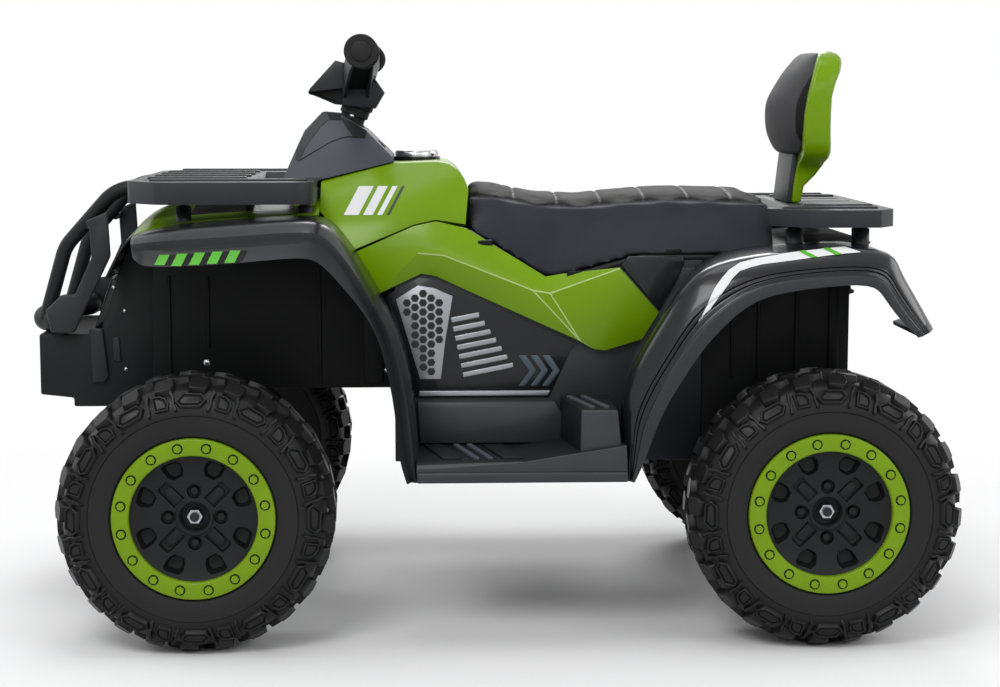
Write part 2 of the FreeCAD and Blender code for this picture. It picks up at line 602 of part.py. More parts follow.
def make_footboards():
    front = FRONT_ARCH[-2:]
    front_x = f"front_axle_x + {front[1][0][0]} + seat_gap"
    rear = [(f"rear_axle_x + {dx} - seat_gap", z) for (dx, z), _ in REAR_ARCH[-3:]]
    step_rear = f"rear_axle_x + {REAR_ARCH[-3][0][0]} - seat_gap"
    depth = "fender_lip_half - cover_half - seat_gap"
    start = "-(cover_half + seat_gap)"

    body = new_body("footboard_left")
    outline = [(front_x, "sill_low_z"), rear[2], rear[1], (step_rear, "step_top_z"),
               (f"{step_rear} - step_length", "step_top_z"),
               (f"{step_rear} - step_length - footboard_wall", "step_foot_z"),
               (f"{step_rear} - step_length - step_rise_length", "floor_z"), (front_x, "floor_z")]
    padded_polygon(body, "XZ", outline, depth, start=start)
    hollow = [(f"{front_x} + footboard_wall", "sill_low_z"), (f"{rear[2][0]} - footboard_wall", "sill_low_z"),
              (f"{rear[1][0]} - footboard_wall", "step_top_z - footboard_wall"),
              (f"{step_rear} - step_length + footboard_wall", "step_top_z - footboard_wall"),
              (f"{step_rear} - step_length + footboard_wall", "step_foot_z - 2 * footboard_wall"),
              (f"{step_rear} - step_length - step_rise_length", "floor_z - footboard_wall"),
              (f"{front_x} + footboard_wall", "floor_z - footboard_wall")]
    cut_polygon(body, "XZ", hollow, f"{depth} - 2 * footboard_wall", start=f"{start} - footboard_wall",
                reverse=True)
    ribs = new_sketch(body, "XY", "floor_z")
    for number in range(int(size("rib_count"))):
        low = f"-(cover_half + rib_edge) - {number} * rib_pitch - rib_width"
        add_polygon(ribs, rectangle(f"{front_x} + rib_start", f"{front_x} + rib_start + rib_length",
                                    low, f"{low} + rib_width"))
    add_pad(body, ribs, "rib_height")
    teeth = new_sketch(body, "XZ", f"{start} - tooth_margin")
    for number in range(int(size("tooth_count"))):
        low = f"{step_rear} - step_length + {number} * step_length / tooth_count"
        add_polygon(teeth, [(low, "step_top_z"),
                            (f"{low} + step_length / tooth_count - tooth_flat", "step_top_z"),
                            (f"{low} + tooth_flat", "step_top_z + tooth_height")])
    add_pad(body, teeth, f"{depth} - 2 * tooth_margin")
    return mirrored(body, "footboard_right")


# Tank, side panels and cowl

def tank_outline():
    edge = top_edge(FRONT_ARCH, "front_axle_x")
    front_x = edge[3][0] + size("seat_gap")
    round_top = [(size("front_axle_x") + dx, z) for dx, z in TANK_LINE]
    return [(front_x, edge[3][1]), (edge[5][0], edge[5][1] - size("tank_skirt_drop"))] + round_top + [
        (front_x, TANK_FRONT_TOP)]


def hollow_shell(outline, half, wall, shoulder, opening):
    """A cover of one wall from a side outline and half a front outline, open underneath."""
    widest = half[0][0]
    xs = [x for x, _ in outline]
    outer = side_prism(outline, widest).common(front_prism(half, min(xs), max(xs)))
    thin_half = [(y - wall, z - (wall if z > shoulder else 0)) for y, z in half]
    hollow = side_prism(inset(outline, wall), widest).common(front_prism(thin_half, min(xs), max(xs)))
    return outer.cut(hollow).cut(hollow.translated(vector(0, 0, -opening)))


def make_tank_cover():
    wall = size("panel_wall")
    widest = size("green_half - tank_inset")
    outline = tank_outline()
    half = [(widest, TANK_SIDE_LOW), (widest, TANK_SHOULDER)] + TANK_HALF
    shell = hollow_shell(outline, half, wall, TANK_SHOULDER, 3 * wall)
    shaped("tank_cover", shell.cut(column_hole("column_radius + panel_wall")))


def make_fuel_cap():
    cap = doc.addObject("Part::Cylinder", "fuel_cap")
    bind(cap, "Radius", "fuel_cap_radius")
    bind(cap, "Height", "fuel_cap_height")
    outline = tank_outline()
    top_z = height_on(outline[8:10], size("front_axle_x + fuel_cap_setback"))
    bind(cap, "Placement.Base.x", "front_axle_x + fuel_cap_setback")
    cap.Placement.Base.z = top_z + size("fuel_cap_lift")
    keep(cap, "fuel_cap")


def make_side_covers():
    body = new_body("side_cover_left")
    rear = REAR_ARCH[-4][0]
    outline = [("tub_front_x", "cover_low_z"),
               (f"rear_axle_x + {rear[0]} - cover_heel_lead", "cover_low_z"),
               ("tub_rear_x", "seat_rear_z - cover_tail_drop"),
               ("tub_rear_x", "seat_rear_z - cover_seat_drop"),
               ("seat_rise_x", "seat_rear_z - cover_seat_drop"),
               ("seat_dip_x + seat_dip_length", "seat_dip_z - cover_dip_drop"),
               ("seat_dip_x", "seat_dip_z - cover_dip_drop"),
               ("seat_front_x", "tub_shoulder_z - panel_wall"),
               ("tub_front_x", "tub_shoulder_z - panel_wall")]
    padded_polygon(body, "XZ", outline, "cover_thickness", start="-tub_half_width")
    mirrored(body, "side_cover_right")


def make_side_panels():
    """The green wing from the tank down and back to the rear fender, with a raised middle."""
    axle = size("front_axle_x")
    rear = top_edge(REAR_ARCH, "rear_axle_x")
    gap = size("seat_gap")
    back = size("leg_slant - panel_lap")
    tip_z, heel_z = size("panel_tip_z"), size("panel_heel_z")
    tip = (height_at(rear[6:8], tip_z) + back, tip_z)
    heel = (height_at(rear[7:9], heel_z) + back, heel_z)
    start = (axle + WING_START[0], WING_START[1] - 4 * gap)
    run = heel[0] - start[0]
    lower = [start] + [(start[0] + share * run, z) for share, z in WING_LOW]
    seam = [(axle + dx, z - gap) for dx, z in reversed(TANK_LINE[:2])]
    corner = (axle + WING_CORNER[0], WING_CORNER[1])
    upper = [(start[0] + share * run, z) for share, z in WING_TOP] + [corner] + seam
    outline = lower + [heel, tip] + upper
    low_y = -size("cover_half")
    plate_y = -size("cover_half + green_plate")
    plate = side_plate(outline, low_y, plate_y)
    ridge = side_plate(inset(outline, size("ridge_margin")), plate_y, -size("green_half"))
    left = shaped("side_panel_left", plate.fuse(ridge).removeSplitter())
    mirrored(left, "side_panel_right")


def height_at(edge, z):
    """Distance along the bike where an edge passes a height."""
    (x0, z0), (x1, z1) = edge
    return x0 + (x1 - x0) * (z - z0) / (z1 - z0)


def side_plate(points, from_y, to_y):
    corners = [vector(x, from_y, z) for x, z in points]
    face = Part.Face(Part.makePolygon(corners + corners[:1]))
    return face.extrude(vector(0, to_y - from_y, 0))


def console_face():
    """Middle of the cowl's slope that faces the rider, with its normal and its downhill direction."""
    upper, lower = (vector(size("steer_head_x") + dx, 0, z) for dx, z in COWL_LINE[-2:])
    downhill = (lower - upper).normalize()
    return (upper + lower) * 0.5, vector(-downhill.z, 0, downhill.x), downhill


def make_cowl():
    wall = size("panel_wall")
    gap = size("seat_gap")
    head = size("steer_head_x")
    tank = tank_outline()
    nose_x = head - size("cowl_nose_lead")
    rear_x = head + size("cowl_rear_setback")
    low_x = tank[0][0] - 2 * gap
    seam = [(rear_x, height_on(tank[9:11], rear_x) + gap), (low_x, tank[10][1] + gap),
            (low_x, hood_height(low_x) + size("cowl_lift"))]
    outline = [(nose_x, hood_height(nose_x) + size("cowl_lift"))]
    outline += [(head + dx, z) for dx, z in COWL_LINE] + seam
    shell = hollow_shell(outline, COWL_HALF, wall, COWL_HALF[1][1], 2 * wall)
    bearing = column_hole("column_radius + running_clearance")
    shaped("cowl", shell.cut(bearing).cut(button_hole()).cut(rocker_slot()))


def button_hole():
    center, normal, _ = console_face()
    depth = size("control_hole_depth")
    start = center + vector(0, size("button_half_track"), 0) - normal * (depth / 2)
    return Part.makeCylinder(size("button_radius + running_clearance"), depth, start, normal)


def rocker_slot():
    center, normal, downhill = console_face()
    length, width = size("2 * rocker_radius + 2 * seat_gap"), size("rocker_width + 2 * seat_gap")
    depth = size("control_hole_depth")
    slot = Part.makeBox(length, width, depth, vector(-length / 2, -width / 2, -depth / 2))
    across = vector(0, 1, 0)
    turned = FreeCAD.Rotation(downhill, across, normal, "ZXY")
    seat = FreeCAD.Placement(center - across * size("button_half_track"), turned)
    return slot.transformGeometry(seat.toMatrix())


def make_console_controls():
    center, normal, _ = console_face()
    button = doc.addObject("Part::Cylinder", "power_button")
    bind(button, "Radius", "button_radius")
    bind(button, "Height", "button_depth + button_proud")
    base = center + vector(0, size("button_half_track"), 0) - normal * size("button_depth")
    button.Placement = FreeCAD.Placement(base, FreeCAD.Rotation(vector(0, 0, 1), normal))
    keep(button, "power_button")
    rocker = doc.addObject("Part::Cylinder", "direction_rocker")
    bind(rocker, "Radius", "rocker_radius")
    bind(rocker, "Height", "rocker_width")
    pivot = center - normal * size("rocker_sink")
    base = pivot - vector(0, size("button_half_track - rocker_width / 2"), 0)
    rocker.Placement = FreeCAD.Placement(base, FreeCAD.Rotation(vector(0, 0, 1), vector(0, -1, 0)))
    keep(rocker, "direction_rocker")


# Nose and bumper

def make_front_valance():
    """The nose below the hood, with two lamps on its slope."""
    body = new_body("front_valance")
    wall = "panel_wall"
    rear = "front_axle_x - liner_front_lead"
    nose = "front_axle_x - valance_lead"
    brow = "front_axle_x - valance_brow_lead"
    slope_low = "front_axle_x - lamp_low_lead"
    slope_high = "front_axle_x - lamp_high_lead"
    lip_z = "valance_low_z + valance_lip_rise"
    lamp_z = "valance_top_z + lamp_height"
    brow_z = "valance_top_z + valance_brow_height"
    outline = [(nose, lip_z), (f"{nose} + valance_lip_length", f"{lip_z} - valance_lip_fall"),
               (f"{nose} + valance_lip_length", "valance_low_z"), (rear, "valance_low_z"), (rear, brow_z),
               (brow, brow_z), (slope_high, lamp_z), (slope_low, "valance_top_z"), (nose, "valance_top_z")]
    padded_polygon(body, "XZ", outline, "2 * valance_half_width", middle=True)
    hollow = [(f"{nose} + {wall}", f"{lip_z} + {wall}"), (rear, f"{lip_z} + {wall}"),
              (rear, f"{brow_z} - {wall}"), (f"{brow} + 2 * {wall}", f"{brow_z} - {wall}"),
              (f"{slope_high} + 2 * {wall}", lamp_z),
              (f"{slope_low} + 2 * {wall}", f"valance_top_z - {wall}"),
              (f"{nose} + {wall}", f"valance_top_z - {wall}")]
    cut_polygon(body, "XZ", hollow, f"2 * (valance_half_width - {wall})", middle=True)

    lens = new_body("headlight_lens")
    face = [(slope_low, "valance_top_z"), (slope_high, lamp_z),
            (f"{slope_high} - headlight_depth", f"{lamp_z} - lamp_bevel"),
            (f"{slope_low} - headlight_depth", "valance_top_z + lamp_bevel")]
    padded_polygon(lens, "XZ", face, "headlight_width", start="headlight_width / 2 - headlight_half_track")
    pair_up(lens, "headlights")


def make_bull_bar():
    """Two hoops from the rack down to a thick low bar, with a boss for each side plate."""
    axle = size("front_axle_x")
    half, end = size("hoop_half_track"), size("plate_half_track")
    low_z = size("low_bar_z")
    front_x = axle - size("low_bar_lead")
    top_z = size("front_rack_top_z - hoop_radius - hoop_drop")
    pieces = []
    for y in (-half, half):
        path = [vector(axle - size("front_rack_front_lead + seat_gap"), y, top_z),
                vector(axle - size("hoop_shoulder_lead"), y, top_z),
                vector(axle - size("hoop_belly_lead"), y, size("hoop_belly_z")),
                vector(front_x + size("hoop_foot_setback"), y, low_z)]
        pieces.append(bent_tube(path, size("hoop_bend"), size("hoop_radius")))
    end_x = front_x + size("low_bar_setback")
    path = [vector(end_x, -end, low_z), vector(end_x, size("low_bar_end") - end, low_z),
            vector(front_x, size("low_bar_turn") - end, low_z)]
    path = path + [vector(p.x, -p.y, p.z) for p in reversed(path)]
    pieces.append(bent_tube(path, size("low_bar_bend"), size("low_bar_radius")))
    for side in (-1, 1):
        start = vector(axle - size("boss_lead"), side * half, size("boss_z"))
        pieces.append(Part.makeCylinder(size("boss_radius"), end - half, start, vector(0, side, 0)))
    shaped("bull_bar", pieces[0].multiFuse(pieces[1:]))


def make_bumper_plates():
    body = new_body("bumper_plate")
    outline = [(f"front_axle_x - {lead}", z) for lead, z in BUMPER_PLATE]
    padded_polygon(body, "XZ", outline, "plate_thickness", start="-plate_half_track")
    pair_up(body, "bumper_plates")


# Racks

def make_rack(label, low_z, top_z, front_x, rear_x, notch, post_xs, foot_heights):
    """A moulded tray: a deck with slots, a skirt round it, posts below and a notch for the seat or cowl."""
    body = new_body(label)
    half = "rack_half_width"
    corner = "rack_corner"
    notch_half, notch_x, at_front = notch
    front = [(front_x, f"-({half} - {corner})"), (f"{front_x} + {corner}", f"-{half}")]
    rear = [(rear_x, f"-({half} - {corner} / 3)"), (f"{rear_x} - {corner} / 3", f"-{half}")]
    if at_front:
        front = [(notch_x, f"-{notch_half}"), (front_x, f"-({notch_half} + notch_slant)")] + front
    else:
        rear = [(notch_x, f"-{notch_half}"), (rear_x, f"-({notch_half} + notch_slant)")] + rear
    left = front + rear[::-1]
    right = [(x, y[1:]) for x, y in reversed(left)]
    padded_polygon(body, "XY", left + right, f"{top_z} - {low_z}", start=low_z)
    inner_front = f"{notch_x if at_front else front_x} + rack_wall"
    inner_rear = f"{rear_x if at_front else notch_x} - rack_wall"
    inner = rectangle(inner_front, inner_rear, f"-({half} - {corner})", f"{half} - {corner}")
    cut_polygon(body, "XY", inner, f"{top_z} - {low_z} - rack_deck", start=low_z, reverse=True)
    slots = new_sketch(body, "XY", top_z)
    for number in range(int(size("rack_slot_count"))):
        low = f"({number} - (rack_slot_count - 1) / 2) * rack_slot_pitch * 2 - rack_slot_width / 2"
        add_polygon(slots, rectangle(f"{inner_front} + slot_margin", f"{inner_rear} - slot_margin",
                                     low, f"{low} + rack_slot_width"))
    add_pocket(body, slots, "2 * rack_deck")
    for post_x, foot in zip(post_xs, foot_heights):
        posts = new_sketch(body, "XY", f"{top_z} - rack_deck / 2")
        for side in ("", "-"):
            center = f"{side}rack_post_half_track"
            add_polygon(posts, rectangle(f"{post_x} - rack_post_size / 2", f"{post_x} + rack_post_size / 2",
                                         f"{center} - rack_post_size / 2", f"{center} + rack_post_size / 2"))
        add_pad(body, posts, f"{top_z} - rack_deck / 2 - {foot}", reverse=True)


def make_racks():
    front_posts = ["front_axle_x - front_post_lead", "front_axle_x + front_post_setback"]
    feet = [hood_height(size(f"{x} + rack_post_size / 2")) + size("seat_gap") for x in front_posts]
    notch = ("front_notch_half", "front_axle_x + front_notch_lead", False)
    make_rack("front_rack", "front_rack_low_z", "front_rack_top_z", "front_axle_x - front_rack_front_lead",
              "front_axle_x + front_rack_rear_setback", notch, front_posts, feet)
    rear_posts = ["rear_axle_x - rear_post_lead", "rear_axle_x + rear_post_setback"]
    edge = top_edge(REAR_ARCH, "rear_axle_x")[3:5]
    feet = [height_on(edge, size(f"{x} + rack_post_size / 2")) + size("seat_gap") for x in rear_posts]
    notch = ("rear_notch_half", "rear_axle_x - rear_notch_lead", True)
    make_rack("rear_rack", "rear_rack_low_z", "rear_rack_top_z", "rear_axle_x - rear_rack_front_lead",
              "rear_axle_x + rear_rack_rear_setback", notch, rear_posts, feet)


# Seat and backrest

def make_seat_base():
    body = new_body("seat_base")
    line = SEAT_LINE + [("seat_rear_x", "seat_rear_z")]
    under = [(x, f"{z} - seat_base_thickness") for x, z in reversed(line)]
    padded_polygon(body, "XZ", line + under, "2 * tub_half_width", middle=True)


def arc_edge(start, middle, end):
    return Part.Arc(start, middle, end).toShape()


def seat_section(x, low_z, top_z, low_half, top_half):
    """A cushion's cross-section: flat base, drawn-in sides and a crowned top."""
    shoulder = top_z - size("seat_edge_drop")
    draw = size("seat_side_draw")
    mid_z = (low_z + shoulder) / 2
    mid_half = (low_half + top_half) / 2 - draw
    corners = [vector(x, -low_half, low_z), vector(x, low_half, low_z),
               vector(x, top_half, shoulder), vector(x, -top_half, shoulder)]
    return Part.Wire([
        Part.LineSegment(corners[0], corners[1]).toShape(),
        arc_edge(corners[1], vector(x, mid_half, mid_z), corners[2]),
        arc_edge(corners[2], vector(x, 0, top_z), corners[3]),
        arc_edge(corners[3], vector(x, -mid_half, mid_z), corners[0]),
    ])


def make_seat_cushion():
    """A long saddle with sewn cross channels between its crests."""
    gap = size("seat_gap")
    start, end = size("seat_front_x + seat_end_gap"), size("seat_rear_x - seat_end_gap / 2")
    first = size("seat_front_x + seat_crest_setback")
    pitch = (end - size("seat_crest_end") - first) / (len(SEAT_CREST_HEIGHTS) - 1)
    crests = [(first + number * pitch, height) for number, height in enumerate(SEAT_CREST_HEIGHTS)]
    valleys = [((x0 + x1) / 2, (z0 + z1) / 2 - size("seat_channel_depth"))
               for (x0, z0), (x1, z1) in zip(crests, crests[1:])]
    drop = size("seat_end_drop")
    ends = [(start, SEAT_CREST_HEIGHTS[0] - drop), (end, SEAT_CREST_HEIGHTS[-1] - drop)]
    top = sorted(ends + crests + valleys)
    base = [(size(x), size(z)) for x, z in SEAT_LINE] + [(size("seat_rear_x"), size("seat_rear_z"))]
    apart = size("seat_station_gap")
    bends = [x for x, _ in base[1:4] if all(abs(x - known) > apart for known, _ in top)]
    sections = []
    for x in sorted([x for x, _ in top] + bends):
        share = (x - start) / (end - start)
        low_half = size("seat_front_half") + share * size("seat_rear_half - seat_front_half")
        top_half = size("seat_front_top_half") + share * size("seat_rear_top_half - seat_front_top_half")
        sections.append(seat_section(x, height_on(base, x) + gap, height_on(top, x), low_half, top_half))
    shaped("seat_cushion", Part.makeLoft(sections, True, True))


def back_line(height):
    """Distance along the bike of the seam between backrest pad and shell at a height."""
    low, high = size("pad_low_z"), size("pad_top_z")
    return size("rear_axle_x + back_seam_setback") + size("back_lean") * (height - low) / (high - low)


def make_backrest():
    """A padded front and a moulded shell behind it, whose foot stands on the rear rack."""
    gap = size("seat_gap")
    low, high = size("pad_low_z"), size("pad_top_z")
    draw = size("pad_edge_draw")
    sections = []
    for share, depth, narrower in PAD_SECTIONS:
        z = low + share * (high - low)
        rear_x = back_line(z)
        edge_x = rear_x - depth / 3
        half = size("pad_half_width") - narrower
        sections.append(Part.Wire([
            Part.LineSegment(vector(rear_x, -half, z), vector(rear_x, half, z)).toShape(),
            Part.LineSegment(vector(rear_x, half, z), vector(edge_x, half - draw, z)).toShape(),
            arc_edge(vector(edge_x, half - draw, z), vector(rear_x - depth, 0, z),
                     vector(edge_x, draw - half, z)),
            Part.LineSegment(vector(edge_x, draw - half, z), vector(rear_x, -half, z)).toShape(),
        ]))
    shaped("backrest_pad", Part.makeLoft(sections, True, True))

    axle = size("rear_axle_x")
    lip = size("back_lip")
    foot_x, foot_z = axle - size("back_foot_lead"), size("rear_rack_top_z") + gap
    foot = [(foot_x, foot_z), (foot_x + size("back_foot_length"), foot_z)]
    rear = [(axle + dx, z) for dx, z in BACK_REAR]
    seam = [(back_line(high + lip) + gap, high + lip), (back_line(low - lip / 2) + gap, low - lip / 2)]
    outline = foot + rear + seam + [(axle + BACK_WAIST[0], BACK_WAIST[1])]
    wide, foot_half = size("back_half_width"), size("back_foot_half")
    half = [(foot_half, foot_z - gap), (foot_half, BACK_FOOT_TOP), (foot_half + BACK_FLARE, BACK_FLARE_Z)]
    half += [(wide - narrower, z) for narrower, z in BACK_HALF]
    xs = [x for x, _ in outline]
    shaped("backrest_shell", side_prism(outline, wide).common(front_prism(half, min(xs), max(xs))))


# Wheels

WHEELS = {
    "front_left": ("front_axle_x", "-wheel_outer", 0),
    "front_right": ("front_axle_x", "wheel_outer", 180),
    "rear_left": ("rear_axle_x", "-wheel_outer", 0),
    "rear_right": ("rear_axle_x", "wheel_outer", 180),
}


def place_wheel_piece(piece, corner):
    """Wheel pieces are drawn with the outer face at Y = 0 and the inner side towards +Y."""
    axle, outer, turn = WHEELS[corner]
    piece.Placement = FreeCAD.Placement(vector(0, 0, 0), FreeCAD.Rotation(vector(0, 0, 1), turn))
    bind(piece, "Placement.Base.x", axle)
    bind(piece, "Placement.Base.y", outer)
    bind(piece, "Placement.Base.z", "axle_z")


def tyre_shape():
    """A carcass open to the rim, with chunky blocks round the tread."""
    radius, width = size("tyre_radius"), size("tyre_width")
    wall, bead = size("tyre_wall"), size("bead_radius")
    crown = radius - size("tread_depth")
    seat = size("ring_inset + ring_thickness")
    sidewall = [(size("ring_outer_radius") + rise, depth) for rise, depth in TYRE_SIDEWALL]
    shoulder = [(crown - drop, depth) for drop, depth in TYRE_SHOULDER]
    outer = [(bead, seat), (sidewall[0][0], seat)] + sidewall + shoulder
    bead_end = seat + size("bead_width")
    inner = [(bead, bead_end), (crown - wall - size("carcass_drop"), bead_end - size("carcass_lean")),
             (crown - wall, size("carcass_depth"))]
    outer, inner = (side + [(r, width - y) for r, y in reversed(side)] for side in (outer, inner))
    points = [vector(0, y, r) for r, y in outer + inner[::-1]]
    face = Part.Face(Part.makePolygon(points + points[:1]))
    carcass = face.revolve(vector(0, 0, 0), vector(0, 1, 0), 360)
    blocks = []
    block = tread_block(crown, radius)
    count = int(size("lug_count"))
    for number in range(count):
        for offset, flip in ((0, False), (0.5, True)):
            lug = block.copy()
            if flip:
                lug = lug.mirror(vector(0, width / 2, 0), vector(0, 1, 0))
            lug.rotate(vector(0, 0, 0), vector(0, 1, 0), 360 * (number + offset) / count)
            blocks.append(lug)
    return carcass.multiFuse(blocks)


def tread_block(crown, radius):
    """One block from the sidewall over the shoulder towards the middle of the tread."""
    length = size("lug_length")
    low_y, high_y = size("lug_inset"), size("lug_inset + lug_reach")
    foot = crown - size("tyre_wall") / 2
    profile = [(low_y, foot - size("lug_root")), (low_y + size("lug_lean"), crown + size("lug_shoulder")),
               (low_y + size("lug_crest"), radius), (high_y, radius), (high_y, foot)]
    corners = [vector(-length / 2, y, r) for y, r in profile]
    return Part.Face(Part.makePolygon(corners + corners[:1])).extrude(vector(length, 0, 0))


def make_tyres():
    shape = tyre_shape()
    for corner in WHEELS:
        tyre = doc.addObject("Part::Feature", "tyre_" + corner)
        tyre.Shape = shape
        place_wheel_piece(tyre, corner)
        keep(tyre, "tyre_" + corner)


def add_revolution(body, points):
    """A profile in Y and Z turned about the wheel's axis."""
    sketch = new_sketch(body, "YZ")
    add_polygon(sketch, points)
    feature = body.newObject("PartDesign::Revolution", body.Name + "_turned")
    feature.Profile = sketch
    feature.ReferenceAxis = (sketch, ["H_Axis"])
    feature.Angle = 360
    return feature


def add_ring_pattern(body, feature, count):
    """Repeat a feature round the wheel's axis."""
    pattern = body.newObject("PartDesign::PolarPattern", body.Name + "_pattern")
    pattern.Originals = [feature]
    axis = next(f for f in body.Origin.OriginFeatures if f.Role == "Y_Axis")
    pattern.Axis = (axis, [""])
    pattern.Angle = 360
    bind(pattern, "Occurrences", count)
    body.Tip = pattern
    return pattern


def add_hexagon(sketch, across, along, flats):
    """A regular six-sided outline held by its corners' distances."""
    reach = f"{flats} / {ROOT_3}"
    corners = [(f"{across} + {reach}", along), (f"{across} + {reach} / 2", f"{along} + {flats} / 2"),
               (f"{across} - {reach} / 2", f"{along} + {flats} / 2"), (f"{across} - {reach}", along),
               (f"{across} - {reach} / 2", f"{along} - {flats} / 2"),
               (f"{across} + {reach} / 2", f"{along} - {flats} / 2")]
    add_polygon(sketch, corners)


def make_bead_rings():
    for corner in WHEELS:
        body = new_body("ring_" + corner)
        outer, inner = "ring_outer_radius", "ring_inner_radius"
        back = "ring_inset + ring_thickness"
        bevel = "ring_inset + ring_bevel"
        add_revolution(body, [("ring_inset", f"{inner} + ring_bevel"),
                              ("ring_inset", f"{outer} - ring_bevel"), (bevel, outer), (back, outer),
                              (back, inner), (bevel, inner)])
        sketch = new_sketch(body, "XZ", "ring_inset")
        add_hexagon(sketch, "0", f"({outer} + {inner}) / 2", "ring_bolt_flats")
        bolt = add_pad(body, sketch, "ring_bolt_height")
        add_ring_pattern(body, bolt, "ring_bolt_count")
        place_wheel_piece(body, corner)


def make_rims():
    """A barrel with a dished face, windows round its edge, four lug nuts and a hub bored for the axle."""
    for corner in WHEELS:
        body = new_body("rim_" + corner)
        barrel, wall = "bead_radius", "rim_wall"
        front = "ring_inset + ring_thickness"
        back = f"tyre_width - {front}"
        hub_end = "tyre_width - hub_end_inset"
        face = "rim_face_inset - rim_face_thickness"
        dish = f"{face} - dish_depth"
        bore = "axle_radius + running_clearance"
        add_revolution(body, [
            (front, barrel), (back, barrel), (back, f"{barrel} - {wall}"),
            ("rim_face_inset", f"{barrel} - {wall}"), ("rim_face_inset", "hub_radius"),
            (hub_end, "hub_radius"), (hub_end, bore), ("rim_face_inset", bore),
            ("rim_face_inset", "hub_radius - hub_bevel"), (face, "hub_radius"),
            (face, "lug_nut_circle_radius + dish_margin"), (dish, "window_inner_radius - window_edge"),
            (dish, "window_outer_radius"), (front, "ring_inner_radius"),
        ])
        window = new_sketch(body, "XZ", dish)
        narrow = "window_half_width * window_taper"
        add_polygon(window, [(f"-{narrow}", "window_inner_radius"), (narrow, "window_inner_radius"),
                             ("window_half_width", "window_outer_radius - window_edge"),
                             ("-window_half_width", "window_outer_radius - window_edge")])
        add_ring_pattern(body, add_pocket(body, window, "1.5 * window_depth"), "window_count")
        nut = new_sketch(body, "XZ", f"{face} + rim_wall / 5")
        add_hexagon(nut, "0", "lug_nut_circle_radius", "2 * lug_nut_radius")
        add_ring_pattern(body, add_pad(body, nut, "lug_nut_height + rim_wall / 5"), "lug_nut_count")
        place_wheel_piece(body, corner)


def hub_nut(name, side, x_text):
    """A hexagonal nut on an axle end, just clear of the wheel's hub."""
    nut = doc.addObject("Part::Prism", name)
    nut.Polygon = 6
    bind(nut, "Circumradius", f"nut_flats / {ROOT_3}")
    bind(nut, "Height", "nut_thickness")
    bore = doc.addObject("Part::Cylinder", name + "_bore")
    bind(bore, "Radius", "axle_radius")
    bind(bore, "Height", "nut_thickness")
    sign = "-" if side < 0 else ""
    outward = FreeCAD.Rotation(vector(0, 0, 1), vector(0, side, 0))
    for solid in (nut, bore):
        solid.Placement = FreeCAD.Placement(vector(0, 0, 0), outward)
        bind(solid, "Placement.Base.x", x_text)
        bind(solid, "Placement.Base.y", f"{sign}(hub_outer + nut_gap)")
        bind(solid, "Placement.Base.z", "axle_z")
    drilled = doc.addObject("Part::Cut", name + "_drilled")
    drilled.Base = nut
    drilled.Tool = bore
    return drilled


def make_axle_nuts():
    keep(hub_nut("nut_fl", -1, "front_axle_x"), "front_nut_left")
    keep(hub_nut("nut_fr", 1, "front_axle_x"), "front_nut_right")
    pair = doc.addObject("Part::Compound", "rear_axle_nuts")
    pair.Links = [hub_nut("nut_rl", -1, "rear_axle_x"), hub_nut("nut_rr", 1, "rear_axle_x")]
    keep(pair, "rear_axle_nuts")


# Front axle and steering linkage

def make_front_axle_beam():
    """A square beam with a fork and a fixed kingpin at each end and two posts up to the liner."""
    body = new_body("front_axle_beam")
    half = "beam_size / 2"
    web = "kingpin_half_track - knuckle_radius - beam_web_gap"
    tip = "kingpin_half_track + fork_reach"
    low, high = "axle_z - fork_outer_half", "axle_z + fork_outer_half"
    inner_low, inner_high = "axle_z - fork_inner_half", "axle_z + fork_inner_half"
    right = [(tip, low), (tip, inner_low), (web, inner_low), (web, inner_high), (tip, inner_high),
             (tip, high), (f"{web} - beam_size", high),
             (f"{web} - beam_size - beam_slope", f"axle_z + {half} - beam_waist_drop")]
    left = [(f"-({y})", z) for y, z in reversed(right)]
    padded_polygon(body, "YZ", right + left, "beam_size", start=f"front_axle_x - {half}")
    posts = new_sketch(body, "XY", "axle_z")
    for sign in ("", "-"):
        center = f"{sign}beam_post_half_track"
        add_polygon(posts, rectangle(f"front_axle_x - {half}", f"front_axle_x + {half}",
                                     f"{center} - beam_post_size / 2", f"{center} + beam_post_size / 2"))
    add_pad(body, posts, "liner_low_z - axle_z")
    pins = new_sketch(body, "XY", "axle_z - fork_outer_half")
    for sign in ("", "-"):
        add_circle(pins, "front_axle_x", f"{sign}kingpin_half_track", "kingpin_radius")
    add_pad(body, pins, "2 * fork_outer_half")


def make_knuckles():
    body = new_body("knuckle_left")
    y = "-kingpin_half_track"
    padded_circle(body, "XY", "front_axle_x", y, "knuckle_radius", "knuckle_height",
                  start="axle_z - knuckle_height / 2")
    arm = rectangle("front_axle_x", "tie_x + knuckle_arm_width / 2", f"{y} - knuckle_arm_width / 2",
                    f"{y} + knuckle_arm_width / 2")
    padded_polygon(body, "XY", arm, "knuckle_arm_height", start="arm_low_z")
    padded_circle(body, "XY", "tie_x", y, "stud_radius", "stud_length", start="arm_top_z")
    padded_circle(body, "XZ", "front_axle_x", "axle_z", "axle_radius", "axle_end - kingpin_half_track",
                  start=y)
    padded_circle(body, "XZ", "front_axle_x", "axle_z", "collar_radius",
                  "hub_inner - kingpin_half_track - knuckle_gap", start=y)
    cut_circle(body, "XY", "front_axle_x", y, "kingpin_radius + running_clearance", "knuckle_height",
               start="axle_z + knuckle_height / 2")
    mirrored(body, "knuckle_right")


